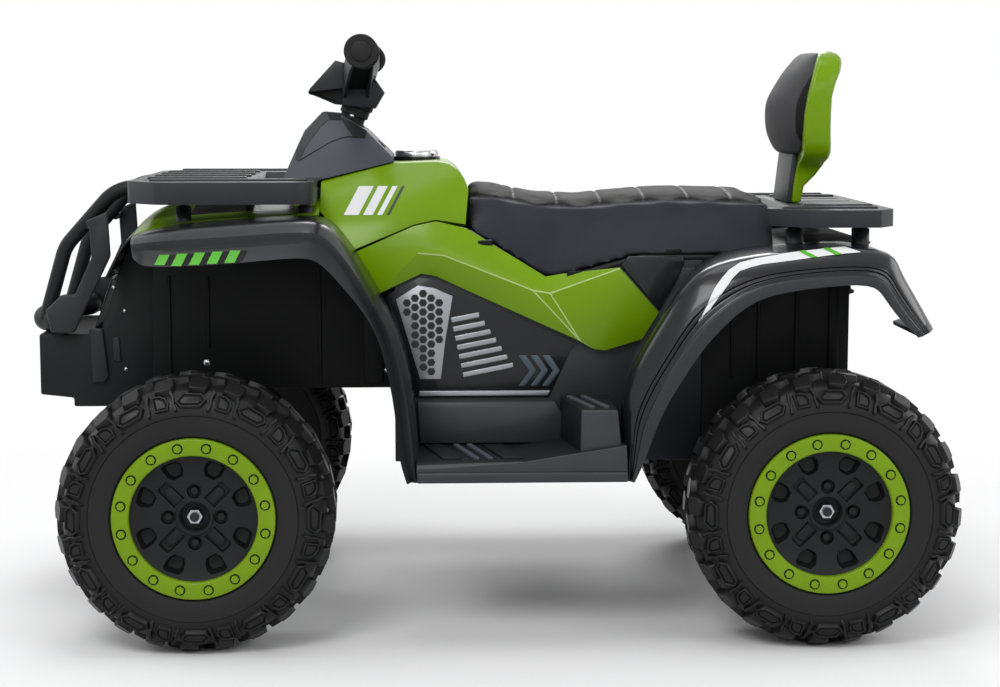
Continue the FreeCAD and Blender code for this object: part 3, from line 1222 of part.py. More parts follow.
def make_tie_rod():
    """A rod with a slotted eye over each knuckle stud and a slotted plate under the column's crank."""
    body = new_body("tie_rod")
    plate_mid = "(tie_low_z + tie_top_z) / 2"
    outer = "kingpin_half_track + tie_plate_half_width"
    inner = "kingpin_half_track - tie_plate_half_width"
    padded_circle(body, "XZ", "tie_x", plate_mid, "tie_rod_radius", f"2 * ({inner})", middle=True)
    plates = new_sketch(body, "XY", "tie_low_z")
    slots = new_sketch(body, "XY", "tie_top_z + tie_rod_radius")
    eyes = [(f"-({outer})", f"-({inner})", "stud_slot_front", "stud_slot_rear"),
            ("-tie_plate_half_width", "tie_plate_half_width", "crank_slot_front", "crank_slot_rear"),
            (inner, outer, "stud_slot_front", "stud_slot_rear")]
    for low, high, slot_front, slot_rear in eyes:
        add_polygon(plates, rectangle(f"tie_x - {slot_front} - tie_eye_wall",
                                      f"tie_x + {slot_rear} + tie_eye_wall", low, high))
        middle = f"(({low}) + ({high})) / 2"
        add_polygon(slots, rectangle(f"tie_x - {slot_front}", f"tie_x + {slot_rear}",
                                     f"{middle} - slot_half_width", f"{middle} + slot_half_width"))
    add_pad(body, plates, "tie_plate")
    add_pocket(body, slots, "tie_plate + 4 * tie_rod_radius")


def make_steering_column():
    """A raked tube with a crank and a pin at its foot."""
    foot = steer_point(size("column_foot_z"))
    top = steer_point(size("column_top_z"))
    along = steer_direction()
    tube = Part.makeCylinder(size("column_radius"), (top - foot).Length, foot, along)
    end = crank_end()
    crank = Part.makeCylinder(size("crank_radius"), (end - foot).Length, foot, end - foot)
    knob = Part.makeSphere(size("crank_radius"), end)
    drop = (end.z - size("tie_low_z - crank_pin_overlap")) / along.z
    pin = Part.makeCylinder(size("stud_radius"), drop, end, along * -1)
    shaped("steering_column", tube.multiFuse([crank, knob, pin]))


def make_handlebar():
    """A bent bar that rises to the grips and a cover over its middle."""
    root_x = steer_point(size("bar_root_z")).x
    bar_x, bar_z = size("bar_x"), size("bar_z")
    half = [vector(bar_x, -size("bar_half_length"), bar_z), vector(bar_x, -size("bar_riser_half"), bar_z),
            vector(root_x, -size("bar_root_half"), size("bar_root_z"))]
    path = half + [vector(p.x, -p.y, p.z) for p in reversed(half)]
    bar = bent_tube(path, size("bar_bend"), size("bar_radius"))
    top = steer_point(size("column_top_z"))
    clamp = Part.makeCylinder(size("column_radius"), size("clamp_length"), top, steer_direction() * -1)
    shaped("handlebar", bar.cut(clamp))

    head_x, head_z = size("steer_head_x"), size("steer_head_z")
    block = side_prism([(head_x + dx, head_z + dz) for dx, dz in BAR_COVER], size("bar_cover_half"))
    column = Part.makeCylinder(size("column_radius"), size("column_hole_length"), top, steer_direction() * -1)
    shaped("bar_cover", block.cut(bar).cut(column))


def grip_cylinder(name, radius, length, start):
    """A round solid along the left grip, from a distance outside the grip's inner end."""
    solid = doc.addObject("Part::Cylinder", "grip_" + name)
    solid.Placement = FreeCAD.Placement(vector(0, 0, 0), FreeCAD.Rotation(vector(0, 0, 1), vector(0, -1, 0)))
    bind(solid, "Radius", radius)
    bind(solid, "Height", length)
    bind(solid, "Placement.Base.x", "bar_x")
    bind(solid, "Placement.Base.y", f"grip_length - bar_half_length - grip_flange_width / 2 - ({start})")
    bind(solid, "Placement.Base.z", "bar_z")
    return solid


def make_grips():
    """A rubber sleeve with a flange at both ends, closed at the bar's tip."""
    flange = ("grip_flange_radius", "grip_flange_width")
    fused = doc.addObject("Part::MultiFuse", "grip_fused")
    fused.Shapes = [grip_cylinder("sleeve", "grip_radius", "grip_length", "0"),
                    grip_cylinder("inner_flange", *flange, "0"),
                    grip_cylinder("outer_flange", *flange, "grip_length - grip_flange_width")]
    bored = doc.addObject("Part::Cut", "grip_bored")
    bored.Base = fused
    bored.Tool = grip_cylinder("hole", "bar_radius", "grip_length - grip_flange_width / 2", "0")
    mirrored(keep(bored, "grip_left"), "grip_right")


# Drive

def make_rear_axle():
    axle = doc.addObject("Part::Cylinder", "rear_axle")
    axle.Placement = FreeCAD.Placement(vector(0, 0, 0), FreeCAD.Rotation(vector(0, 0, 1), vector(0, 1, 0)))
    bind(axle, "Radius", "axle_radius")
    bind(axle, "Height", "2 * axle_end")
    bind(axle, "Placement.Base.x", "rear_axle_x")
    bind(axle, "Placement.Base.y", "-(axle_end)")
    bind(axle, "Placement.Base.z", "axle_z")
    keep(axle, "rear_axle")


def make_gear_motors():
    body = new_body("gear_motor_left")
    start = "-rear_half_width"
    padded_circle(body, "XZ", "rear_axle_x", "axle_z", "gear_case_radius", "gear_case_width", start=start)
    padded_circle(body, "YZ", f"{start} - gear_case_width / 2", "axle_z", "motor_radius",
                  "motor_length", start="rear_axle_x - gear_case_radius - motor_length + motor_overlap")
    cut_circle(body, "XZ", "rear_axle_x", "axle_z", "axle_radius", "2 * gear_case_width",
               start=f"{start} - 2 * gear_case_width")
    mirrored(body, "gear_motor_right")


def make_box(label, length, width, height, low_x, low_y, low_z):
    box = doc.addObject("Part::Box", label)
    for field, text in (("Length", length), ("Width", width), ("Height", height), ("Placement.Base.x", low_x),
                        ("Placement.Base.y", low_y), ("Placement.Base.z", low_z)):
        bind(box, field, text)
    return keep(box, label)


def make_electrics():
    floor = "tub_low_z + panel_wall"
    make_box("battery", "battery_length", "battery_width", "battery_height", "front_axle_x + battery_setback",
             "-battery_width / 2", floor)
    make_box("control_box", "control_length", "control_width", "control_height",
             "front_axle_x + battery_setback + battery_length + control_gap", "-control_width / 2", floor)


def make_tail_light():
    make_box("tail_light", "tail_light_depth", "2 * tail_light_half", "tail_light_height",
             "rear_face_x", "-tail_light_half", "tail_light_low_z")


def make_pedal():
    """A throttle plate on the right footboard, hinged at its rear edge on two ears."""
    body = new_body("throttle_pedal")
    heel = FRONT_ARCH[-1][0][0]
    pivot_x = f"front_axle_x + {heel} + pedal_heel_gap + pedal_length"
    pivot_z = "floor_z + pedal_pivot_lift"
    front = f"{pivot_x} - pedal_length"
    front_z = f"{pivot_z} + pedal_rise"
    half = "pedal_thickness / 2"
    plate = [(pivot_x, f"{pivot_z} - {half}"), (pivot_x, f"{pivot_z} + {half}"),
             (front, f"{front_z} + {half}"), (front, f"{front_z} - {half}")]
    side = "pedal_half_track + pedal_half_width"
    padded_polygon(body, "XZ", plate, "2 * pedal_half_width", start=side)
    padded_circle(body, "XZ", pivot_x, pivot_z, "pedal_pivot_radius",
                  "2 * (pedal_half_width + ear_thickness)", start=f"{side} + ear_thickness")
    return pivot_x, pivot_z


def make_pedal_ears(footboard, pivot_x, pivot_z):
    """Two upright ears on the right footboard, each with a bore for the pedal's pivot."""
    ears = []
    for name, low_y in (("near", "pedal_half_track - pedal_half_width - ear_thickness - seat_gap"),
                        ("far", "pedal_half_track + pedal_half_width + seat_gap")):
        box = doc.addObject("Part::Box", "ear_" + name)
        bind(box, "Length", "2 * ear_radius")
        bind(box, "Width", "ear_thickness")
        bind(box, "Height", "pedal_pivot_lift + ear_radius")
        bind(box, "Placement.Base.x", f"{pivot_x} - ear_radius")
        bind(box, "Placement.Base.y", low_y)
        bind(box, "Placement.Base.z", "floor_z")
        ears.append(box)
    bore = doc.addObject("Part::Cylinder", "ear_bore")
    bore.Placement = FreeCAD.Placement(vector(0, 0, 0), FreeCAD.Rotation(vector(0, 0, 1), vector(0, 1, 0)))
    bind(bore, "Radius", "pedal_pivot_radius + running_clearance")
    bind(bore, "Height", "4 * pedal_half_width")
    bind(bore, "Placement.Base.x", pivot_x)
    bind(bore, "Placement.Base.y", "pedal_half_track - 2 * pedal_half_width")
    bind(bore, "Placement.Base.z", pivot_z)
    subparts.remove(footboard)
    footboard.Label = "footboard_right_plain"
    fused = doc.addObject("Part::MultiFuse", "footboard_right_with_ears")
    fused.Shapes = [footboard] + ears
    bored = doc.addObject("Part::Cut", "footboard_right_bored")
    bored.Base = fused
    bored.Tool = bore
    keep(bored, "footboard_right")


make_chassis_tub()
make_front_liner()
make_rear_liner()
make_front_fenders()
make_rear_fenders()
make_front_hood()
right_footboard = make_footboards()
make_tank_cover()
make_fuel_cap()
make_side_covers()
make_side_panels()
make_cowl()
make_console_controls()
make_front_valance()
make_bull_bar()
make_bumper_plates()
make_racks()
make_seat_base()
make_seat_cushion()
make_backrest()
make_tyres()
make_bead_rings()
make_rims()
make_axle_nuts()
make_front_axle_beam()
make_knuckles()
make_tie_rod()
make_steering_column()
make_handlebar()
make_grips()
make_rear_axle()
make_gear_motors()
make_electrics()
make_tail_light()
pedal_pivot_x, pedal_pivot_z = make_pedal()
make_pedal_ears(right_footboard, pedal_pivot_x, pedal_pivot_z)
doc.recompute()

for thing in doc.Objects:
    if "Invalid" in thing.State or "Error" in thing.State:
        raise RuntimeError(f"{thing.Label} failed: {thing.State}")
for thing in subparts:
    if thing.Shape.isNull() or not thing.Shape.isValid():
        raise RuntimeError(f"{thing.Label} has no valid shape")

os.makedirs("parts", exist_ok=True)
for thing in subparts:
    thing.Shape.exportStep(f"parts/{thing.Label}.step")
print(len(subparts), "sub-parts written")
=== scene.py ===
# %% [markdown]
# A ride-on quad bike for children, dressed for the studio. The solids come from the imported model, so
# every piece made here starts from their places. Sizes are written in millimetres and turned into
# metres by MM. The front of the bike points to -X, the rider's right hand to +Y, and Z is up.

# %% Load the frame
import json
import math
import bmesh
import bpy
from bmesh.types import BMEdge, BMFace, BMVert
from mathutils import Matrix, Vector
from mathutils.bvhtree import BVHTree


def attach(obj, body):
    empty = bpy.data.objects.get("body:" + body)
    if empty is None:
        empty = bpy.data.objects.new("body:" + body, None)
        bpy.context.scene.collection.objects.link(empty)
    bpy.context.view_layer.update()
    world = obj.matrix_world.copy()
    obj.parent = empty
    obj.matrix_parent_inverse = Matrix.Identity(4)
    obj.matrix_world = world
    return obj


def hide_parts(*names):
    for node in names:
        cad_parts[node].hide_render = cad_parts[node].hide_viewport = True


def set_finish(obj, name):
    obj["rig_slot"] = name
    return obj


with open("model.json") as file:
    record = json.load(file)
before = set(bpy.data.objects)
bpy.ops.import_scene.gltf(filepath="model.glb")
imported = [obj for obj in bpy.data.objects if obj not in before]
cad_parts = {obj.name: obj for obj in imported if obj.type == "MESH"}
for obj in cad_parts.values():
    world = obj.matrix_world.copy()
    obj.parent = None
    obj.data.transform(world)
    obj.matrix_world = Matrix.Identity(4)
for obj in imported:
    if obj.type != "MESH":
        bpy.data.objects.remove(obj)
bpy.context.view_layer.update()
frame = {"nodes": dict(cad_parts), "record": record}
MM = 0.001

# %% [markdown]
# The camera stands where the photographer stood: almost square to the bike's left side, a little in
# front of its middle and a bit above the saddle. A camera is aimed here by a direction, because the
# three numbers that matter (place, turn and tilt) can then be read straight from the code.

# %% Camera
CAMERA_PLACE = Vector((-84, -2874, 710)) * MM
CAMERA_TURN, CAMERA_TILT = 0.040, 0.122
FOCAL_PIXELS, FRAME_PIXELS, SENSOR_MM = 2015, 1000, 36


def add_object(name, data):
    """A new object of the scene around some data."""
    thing = bpy.data.objects.new(name, data)
    bpy.context.scene.collection.objects.link(thing)
    return thing


aim = Vector((math.sin(CAMERA_TURN) * math.cos(CAMERA_TILT),
              math.cos(CAMERA_TURN) * math.cos(CAMERA_TILT), -math.sin(CAMERA_TILT)))
camera = add_object("camera", bpy.data.cameras.new("camera"))
camera.data.sensor_width = SENSOR_MM
camera.data.lens = FOCAL_PIXELS / FRAME_PIXELS * SENSOR_MM
camera.location = CAMERA_PLACE
camera.rotation_euler = aim.to_track_quat("-Z", "Y").to_euler()
bpy.context.scene.camera = camera
print("lens", round(camera.data.lens, 2), "mm")

# %% [markdown]
# Large soft lamps stand round the bike, so that gloss shows as broad pale patches and no side is
# dark. The floor is a pale disc that keeps a soft shadow and fades to the white of the background
# with distance, which hides the horizon.

# %% Lamps, floor and background
LAMPS = {
    "key": ((-1000, -2300, 2500), 1200, 44),
    "fill": ((1900, -1900, 1500), 1300, 17),
    "far_side": ((300, 2600, 2300), 1500, 40),
    "nose": ((-2600, 300, 1500), 1200, 14),
    "tail": ((2700, 500, 1600), 1200, 14),
    "overhead": ((-200, -200, 3000), 1500, 24),
}
STRIP_PLACE, STRIP_LONG, STRIP_HIGH, STRIP_WATTS = (-84, -2700, 1500), 2600, 170, 8
LAMP_TARGET = Vector((0, 0, 400)) * MM


def add_lamp(name, place, width, watts):
    """A square area lamp that looks at the bike."""
    lamp = add_object("lamp_" + name, bpy.data.lights.new("lamp_" + name, "AREA"))
    lamp.data.size = width * MM
    lamp.data.energy = watts
    lamp.location = Vector(place) * MM
    lamp.rotation_euler = (LAMP_TARGET - lamp.location).to_track_quat("-Z", "Y").to_euler()
    return lamp.data


def fill(tree, node, values):
    """Fill a node's inputs, each with a plain value or with the output of another node."""
    for name, value in values.items():
        if isinstance(value, bpy.types.NodeSocket):
            tree.links.new(value, node.inputs[name])
        else:
            node.inputs[name].default_value = value


def add_node(tree, kind, values, **fields):
    """Add a shader node with some fields set and its inputs filled."""
    node = tree.nodes.new("ShaderNode" + kind)
    for field, value in fields.items():
        setattr(node, field, value)
    fill(tree, node, values)
    return node


def seen_directly(tree):
    """One for camera, glossy and transmission rays, zero for the rays that light a surface."""
    path = add_node(tree, "LightPath", {})
    total = path.outputs["Is Camera Ray"]
    for name in ("Is Glossy Ray", "Is Transmission Ray"):
        total = add_node(tree, "Math", {0: total, 1: path.outputs[name]}, operation="MAXIMUM").outputs[0]
    return total


def mesh_object(name, bm):
    """Turn a bmesh into a new object of the scene."""
    mesh = bpy.data.meshes.new(name)
    bm.to_mesh(mesh)
    bm.free()
    return add_object(name, mesh)


for lamp_name, (place, width, watts) in LAMPS.items():
    add_lamp(lamp_name, place, width, watts)
strip = add_lamp("strip", STRIP_PLACE, STRIP_LONG, STRIP_WATTS)
strip.shape = "RECTANGLE"
strip.size_y = STRIP_HIGH * MM

bpy.context.scene.view_settings.view_transform = "Standard"
WORLD_LIGHT, BACKDROP_LIGHT, WHITE = 0.30, 1.0, (1, 1, 1, 1)
world = bpy.data.worlds.new("studio")
bpy.context.scene.world = world
world.use_nodes = True
sky = world.node_tree
lighting = sky.nodes["Background"]
fill(sky, lighting, {"Strength": WORLD_LIGHT, "Color": WHITE})
backdrop = add_node(sky, "Background", {"Strength": BACKDROP_LIGHT, "Color": WHITE})
choose = add_node(sky, "MixShader", {0: seen_directly(sky), 1: lighting.outputs[0], 2: backdrop.outputs[0]})
fill(sky, sky.nodes["World Output"], {"Surface": choose.outputs[0]})

FLOOR_RADIUS, FLOOR_DROP, FADE_START, FADE_END = 9.0, -0.0006, 0.55, 1.7
FLOOR_COLOR, FLOOR_ROUGHNESS = (0.86, 0.86, 0.87, 1), 0.7
floor_bm = bmesh.new()
bmesh.ops.create_circle(floor_bm, cap_ends=True, segments=96, radius=FLOOR_RADIUS)
bmesh.ops.translate(floor_bm, vec=(0, 0, FLOOR_DROP), verts=floor_bm.verts)
floor = mesh_object("floor", floor_bm)
floor_paint = bpy.data.materials.new("pale_floor")
floor_paint.use_nodes = True
floor.data.materials.append(floor_paint)
tree = floor_paint.node_tree
matte = tree.nodes["Principled BSDF"]
fill(tree, matte, {"Base Color": FLOOR_COLOR, "Roughness": FLOOR_ROUGHNESS})
floor_place = add_node(tree, "TexCoord", {}).outputs["Object"]
distance = add_node(tree, "VectorMath", {0: floor_place}, operation="LENGTH").outputs["Value"]
fade = add_node(tree, "MapRange", {"From Min": FADE_START, "From Max": FADE_END, "Value": distance},
                interpolation_type="SMOOTHSTEP")
only_seen = add_node(tree, "Math", {0: fade.outputs[0], 1: seen_directly(tree)}, operation="MULTIPLY")
glow = add_node(tree, "Emission", {})
blend = add_node(tree, "MixShader", {0: only_seen.outputs[0], 1: matte.outputs[0], 2: glow.outputs[0]})
fill(tree, tree.nodes["Material Output"], {"Surface": blend.outputs[0]})
print(len(LAMPS), "lamps over a floor of", FLOOR_RADIUS, "m")

# %% [markdown]
# Nearly everything on the bike is moulded plastic. Real mouldings are never one flat colour: they
# have a fine grain from the mould, a slow change of shade and of gloss, and a little dust. One
# function builds that from two noise textures on Object coordinates, and each finish only sets
# its own numbers.

# %% Moulded finishes
SHADE_SCALE, SHADE_DETAIL, SHADE_STOPS, GLOSS_SPREAD = 14, 5, (0.3, 0.7), 0.15
GRAIN_DETAIL, GRAIN_STRENGTH, GRAINS_PER_CELL = 3, 0.5, 4


def moulded(name, color, roughness, grain=0.6, relief=0.03, mottle=0.12, coat=0.0, coat_roughness=0.05,
            metallic=0.0, specular=0.5):
    """A surface with mould grain of a size and height in millimetres, and slow changes of shade."""
    paint = bpy.data.materials.new(name)
    paint.use_nodes = True
    tree = paint.node_tree
    place = add_node(tree, "TexCoord", {}).outputs["Object"]
    slow = add_node(tree, "TexNoise", {"Vector": place, "Scale": SHADE_SCALE, "Detail": SHADE_DETAIL})
    shade = add_node(tree, "ValToRGB", {"Fac": slow.outputs["Fac"]})
    for stop, position, factor in zip(shade.color_ramp.elements, SHADE_STOPS, (1 - mottle, 1 + mottle)):
        stop.position = position
        stop.color = [min(1, c * factor) for c in color] + [1]
    gloss = add_node(tree, "MapRange", {"Value": slow.outputs["Fac"],
                                        "To Min": roughness * (1 - GLOSS_SPREAD),
                                        "To Max": min(1, roughness * (1 + GLOSS_SPREAD))})
    fine = add_node(tree, "TexNoise", {"Vector": place, "Scale": 1 / (grain * MM) / GRAINS_PER_CELL,
                                       "Detail": GRAIN_DETAIL})
    bump = add_node(tree, "Bump", {"Height": fine.outputs["Fac"], "Strength": GRAIN_STRENGTH,
                                   "Distance": relief * MM})
    fill(tree, tree.nodes["Principled BSDF"], {
        "Base Color": shade.outputs["Color"], "Roughness": gloss.outputs["Result"],
        "Normal": bump.outputs["Normal"], "Metallic": metallic, "Coat Weight": coat,
        "Coat Roughness": coat_roughness, "Specular IOR Level": specular})
    return paint


green_paint = moulded("green_gloss", (0.142, 0.266, 0.0010), 0.30, grain=0.8, relief=0.006, mottle=0.04,
                      coat=0.22, coat_roughness=0.20, specular=0.10)
ridge_highlight_green = moulded("ridge_highlight_green", (0.30, 0.42, 0.11), 0.22, relief=0.004, mottle=0.04, coat=0.5,
                      specular=0.5)
ring_green = moulded("ring_green", (0.152, 0.266, 0.0030), 0.40, grain=0.8, relief=0.012, mottle=0.05,
                     coat=0.10, coat_roughness=0.12, specular=0.15)
green_foil = moulded("green_foil", (0.070, 0.360, 0.016), 0.35, relief=0.004, mottle=0.03, specular=0.15)
white_foil = moulded("white_foil", (0.66, 0.67, 0.68), 0.35, relief=0.004, mottle=0.03, specular=0.2)
gloss_black = moulded("gloss_black", (0.0070, 0.0074, 0.0090), 0.24, relief=0.006, coat=0.16,
                      coat_roughness=0.06, specular=0.25)
lip_black = moulded("lip_black", (0.0140, 0.0150, 0.0168), 0.46, grain=0.7, relief=0.02, specular=0.2)
seat_top = moulded("seat_top", (0.0112, 0.0104, 0.0104), 0.62, grain=2.4, relief=0.25, specular=0.08)
seat_side = moulded("seat_side", (0.0200, 0.0208, 0.0265), 0.62, grain=1.6, relief=0.20, specular=0.12)
satin_black = moulded("satin_black", (0.0150, 0.0158, 0.0180), 0.46, grain=0.7, relief=0.03, specular=0.22)
grained_black = moulded("grained_black", (0.0085, 0.0090, 0.0098), 0.52, grain=0.9, relief=0.07,
                        specular=0.18)
deep_black = moulded("deep_black", (0.0050, 0.0053, 0.0055), 0.50, grain=0.9, relief=0.05, specular=0.12)
rack_black = moulded("rack_black", (0.0230, 0.0240, 0.0262), 0.42, grain=0.7, relief=0.04, specular=0.22)
step_grey = moulded("step_grey", (0.0300, 0.0318, 0.0350), 0.42, grain=0.7, relief=0.04, specular=0.25)
cowl_grey = moulded("cowl_grey", (0.046, 0.048, 0.061), 0.50, grain=0.7, relief=0.05, specular=0.25)
tyre_black = moulded("tyre_black", (0.0085, 0.0085, 0.0090), 0.40, grain=1.2, relief=0.08, mottle=0.2,
                     specular=0.20)
sidewall_black = moulded("sidewall_black", (0.0125, 0.0125, 0.0132), 0.58, grain=0.8, relief=0.04,
                         specular=0.18)
grip_rubber = moulded("grip_rubber", (0.0075, 0.0075, 0.0080), 0.56, grain=0.8, relief=0.08, specular=0.2)
zinc = moulded("zinc", (0.40, 0.42, 0.45), 0.30, grain=0.4, relief=0.01, metallic=1.0)
chrome = moulded("chrome", (0.50, 0.51, 0.53), 0.16, relief=0.002, mottle=0.02, metallic=1.0)
clear_lens = moulded("clear_lens", (0.52, 0.55, 0.58), 0.14, relief=0.01, mottle=0.05, coat=0.6)
red_lens = moulded("red_lens", (0.22, 0.006, 0.005), 0.16, relief=0.01, mottle=0.10, coat=0.6)
pad_grey = moulded("pad_grey", (0.046, 0.046, 0.049), 0.60, grain=1.4, relief=0.15, specular=0.12)
black_steel = moulded("black_steel", (0.010, 0.0105, 0.0115), 0.36, grain=0.6, relief=0.03, specular=0.3)
silver_print = moulded("silver_print", (0.30, 0.31, 0.33), 0.30, relief=0.01, metallic=0.6)
blue_print = moulded("blue_print", (0.050, 0.068, 0.088), 0.30, relief=0.01, metallic=0.3)
FINISHES = {
    "green_plastic": green_paint, "black_gloss": gloss_black, "black_plastic": grained_black,
    "print_panel": satin_black, "cowl_grey": cowl_grey, "tyre": tyre_black, "grip_rubber": grip_rubber,
    "steel": zinc, "chrome": chrome, "dark_casing": satin_black, "clear_lens": clear_lens,
    "red_lens": red_lens, "seat_leather": seat_side,
}
print(len(FINISHES), "slots have a finish")

# %% [markdown]
# A few helpers are used by most pieces. `put` turns a bmesh into an object that rides on a body of the
# frame, and `put_pair` adds its mirror image on the right. `round_edges` breaks each sharp edge with a
# narrow bevel, as a mould does, because an edge without a radius never catches light.

# %% Helpers for pieces
MIRROR_Y = Matrix.Scale(-1, 4, (0, 1, 0))
BOTH_SIDES = (Vector((1, 1, 1)), Vector((1, -1, 1)))
SLOT_OF = {row["node"]: row["material_slot"] for row in frame["record"]["subparts"]}


def put(name, bm, slot, paints, stands_for=(), smooth=38, body="root"):
    """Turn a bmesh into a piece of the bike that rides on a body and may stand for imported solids."""
    piece = mesh_object(name, bm)
    piece.data.shade_smooth()
    piece.data.set_sharp_from_angle(angle=math.radians(smooth))
    for paint in paints if isinstance(paints, list) else [paints]:
        piece.data.materials.append(paint)
    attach(piece, body)
    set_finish(piece, slot)
    if stands_for:
        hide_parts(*stands_for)
    print(f"{name}: {len(piece.data.polygons)} faces on {body}")
    return piece


def moved_copy(piece, name, body, matrix, stands_for=()):
    """A copy of a piece with its mesh moved, turned or mirrored by a matrix."""
    copy = add_object(name, piece.data.copy())
    copy.data.transform(matrix)
    if matrix.determinant() < 0:
        copy.data.flip_normals()
    for modifier in piece.modifiers:
        twin = copy.modifiers.new(modifier.name, modifier.type)
        for field in ("levels", "render_levels", "thickness", "offset"):
            if hasattr(modifier, field):
                setattr(twin, field, getattr(modifier, field))
    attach(copy, body)
    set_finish(copy, piece["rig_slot"])
    if stands_for:
        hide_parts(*stands_for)


def put_pair(name, bm, slot, paints, stands_for=(), smooth=38, body="root", dress=None):
    """Put a piece on the bike's left side, and its mirror image on the right."""
    left = put(name, bm, slot, paints, stands_for, smooth, body)
    if dress:
        dress(left)
    moved_copy(left, name.replace("left", "right"), body, MIRROR_Y,
               [node.replace("left", "right") for node in stands_for])
    return left


def everything(bm):
    return bm.verts[:] + bm.edges[:] + bm.faces[:]


def only(geometry, kind):
    return [item for item in geometry if isinstance(item, kind)]


def at(x, y, z):
    """The matrix that moves by a step in millimetres."""
    return Matrix.Translation(Vector((x, y, z)) * MM)


def move(bm, matrix):
    """Move, turn or mirror all of a bmesh by a matrix."""
    bmesh.ops.transform(bm, matrix=matrix, verts=bm.verts)
    if matrix.determinant() < 0:
        bmesh.ops.reverse_faces(bm, faces=bm.faces)
    return bm


def painted(bm, index, where=None):
    """Give a material slot to all faces, or to those whose middle and normal pass a test."""
    for face in bm.faces:
        if where is None or where(face.calc_center_median() / MM, face.normal):
            face.material_index = index
    return bm


def round_edges(bm, width, segments=2, angle=30, where=None):
    """Bevel the edges whose faces meet at more than an angle. The width is in millimetres."""
    sharp = [e for e in bm.edges if e.is_manifold and e.calc_face_angle(0) > math.radians(angle)]
    if where:
        sharp = [e for e in sharp if where(e.verts[0].co / MM, e.verts[1].co / MM)]
    made = bmesh.ops.bevel(bm, geom=sharp, offset=width * MM, offset_type="OFFSET", segments=segments,
                           profile=0.5, affect="EDGES", clamp_overlap=True, material=-1)
    return made["faces"]


def flat_face(bm, points):
    """A face through points in millimetres."""
    return bm.faces.new([bm.verts.new(Vector(p) * MM) for p in points])


def push(bm, face, step):
    """Extrude a face by a step in millimetres and return the new end face."""
    made = bmesh.ops.extrude_face_region(bm, geom=[face])["geom"]
    bmesh.ops.translate(bm, vec=Vector(step) * MM, verts=only(made, BMVert))
    return only(made, BMFace)[0]


def sink(bm, face, margin, step):
    """Inset a face by a margin and push what is left by a step, with no lid where it was."""
    bmesh.ops.inset_region(bm, faces=[face], thickness=margin * MM, depth=0)
    floor = push(bm, face, step)
    bm.faces.remove(face)
    return floor


def prism(points, step):
    """A closed block from an outline and a step, both in millimetres."""
    bm = bmesh.new()
    push(bm, flat_face(bm, points), step)
    bmesh.ops.recalc_face_normals(bm, faces=bm.faces)
    return bm


def side_block(outline, y, depth):
    """A block from an outline in the side view, from a place across the bike over a depth."""
    return prism([(x, y, z) for x, z in outline], (0, depth, 0))


def rectangle(left, right, low, high):
    return [(left, low), (right, low), (right, high), (left, high)]


def shifted(points, x, z):
    return [(x + dx, z + dz) for dx, dz in points]


def slab(front, rear, left, right, z, height):
    """An upright box from a rectangle on the level z."""
    return prism([(x, y, z) for x, y in rectangle(front, rear, left, right)], (0, 0, height))


def join(bm, other):
    """Move everything of another bmesh into this one."""
    mesh = bpy.data.meshes.new("join")
    other.to_mesh(mesh)
    other.free()
    bm.from_mesh(mesh)
    bpy.data.meshes.remove(mesh)


def from_mesh(mesh):
    bm = bmesh.new()
    bm.from_mesh(mesh)
    return bm


def solid_copy(node):
    """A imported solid's triangles, merged to a closed mesh with flat faces."""
    bm = from_mesh(frame["nodes"][node].data)
    bmesh.ops.remove_doubles(bm, verts=bm.verts, dist=2e-6)
    bmesh.ops.dissolve_limit(bm, angle_limit=math.radians(1.5), verts=bm.verts, edges=bm.edges)
    return bm


print(len(SLOT_OF), "packed solids have a material slot")

# %% [markdown]
# The tyre is a moulded shell: a smooth wall beside the wheel, a shoulder with two kinds of lug by
# turns, and a tread of chunky blocks. The carcass is a profile spun about the axle. Each lug is
# modelled once, lying flat, then tilted on to the shoulder and repeated round the wheel by the
# same spin operator with its duplicate option.

# %% Tyre
AXLE_Z = 178
FRONT_X, REAR_X = -372, 440
HALF_TRACK = 295
WHEEL_CORNERS = {
    "front_left": (FRONT_X, -1), "front_right": (FRONT_X, 1),
    "rear_left": (REAR_X, -1), "rear_right": (REAR_X, 1),
}


def spun(points, segments, closed=False):
    """Spin a profile of (radius, y) pairs in millimetres about the wheel's axle, the Y axis."""
    bm = bmesh.new()
    verts = [bm.verts.new((0, y * MM, r * MM)) for r, y in points]
    edges = [bm.edges.new(pair) for pair in zip(verts, verts[1:])]
    if closed:
        edges.append(bm.edges.new((verts[-1], verts[0])))
    bmesh.ops.spin(bm, geom=verts + edges, cent=(0, 0, 0), axis=(0, 1, 0), dvec=(0, 0, 0),
                   angle=math.tau, steps=segments, use_merge=True, use_duplicate=False)
    bmesh.ops.remove_doubles(bm, verts=bm.verts, dist=1e-6)
    bmesh.ops.recalc_face_normals(bm, faces=bm.faces)
    return bm


def repeat_round(bm, count):
    """Repeat all of a bmesh round the axle, so that there are count copies."""
    bmesh.ops.spin(bm, geom=everything(bm), cent=(0, 0, 0), axis=(0, 1, 0), dvec=(0, 0, 0),
                   angle=math.tau * (count - 1) / count, steps=count - 1, use_merge=False, use_duplicate=True)


def set_on_wheel(bm, radius, y, tilt, turn=0):
    """Take a lug drawn flat, with its face to +Z, to a radius, a place across and a tilt."""
    lean = math.radians(tilt)
    seat = Matrix(((1, 0, 0, 0), (0, math.sin(lean), -math.cos(lean), y * MM),
                   (0, math.cos(lean), math.sin(lean), radius * MM), (0, 0, 0, 1)))
    move(bm, Matrix.Rotation(math.radians(turn), 4, "Y") @ seat)


def shrink(face, margin):
    """Draw a face's corners towards its middle by a margin in millimetres."""
    middle = face.calc_center_median()
    for vert in face.verts:
        away = vert.co - middle
        vert.co = middle + away * max(0.1, 1 - margin * MM / max(away.length, 1e-6))


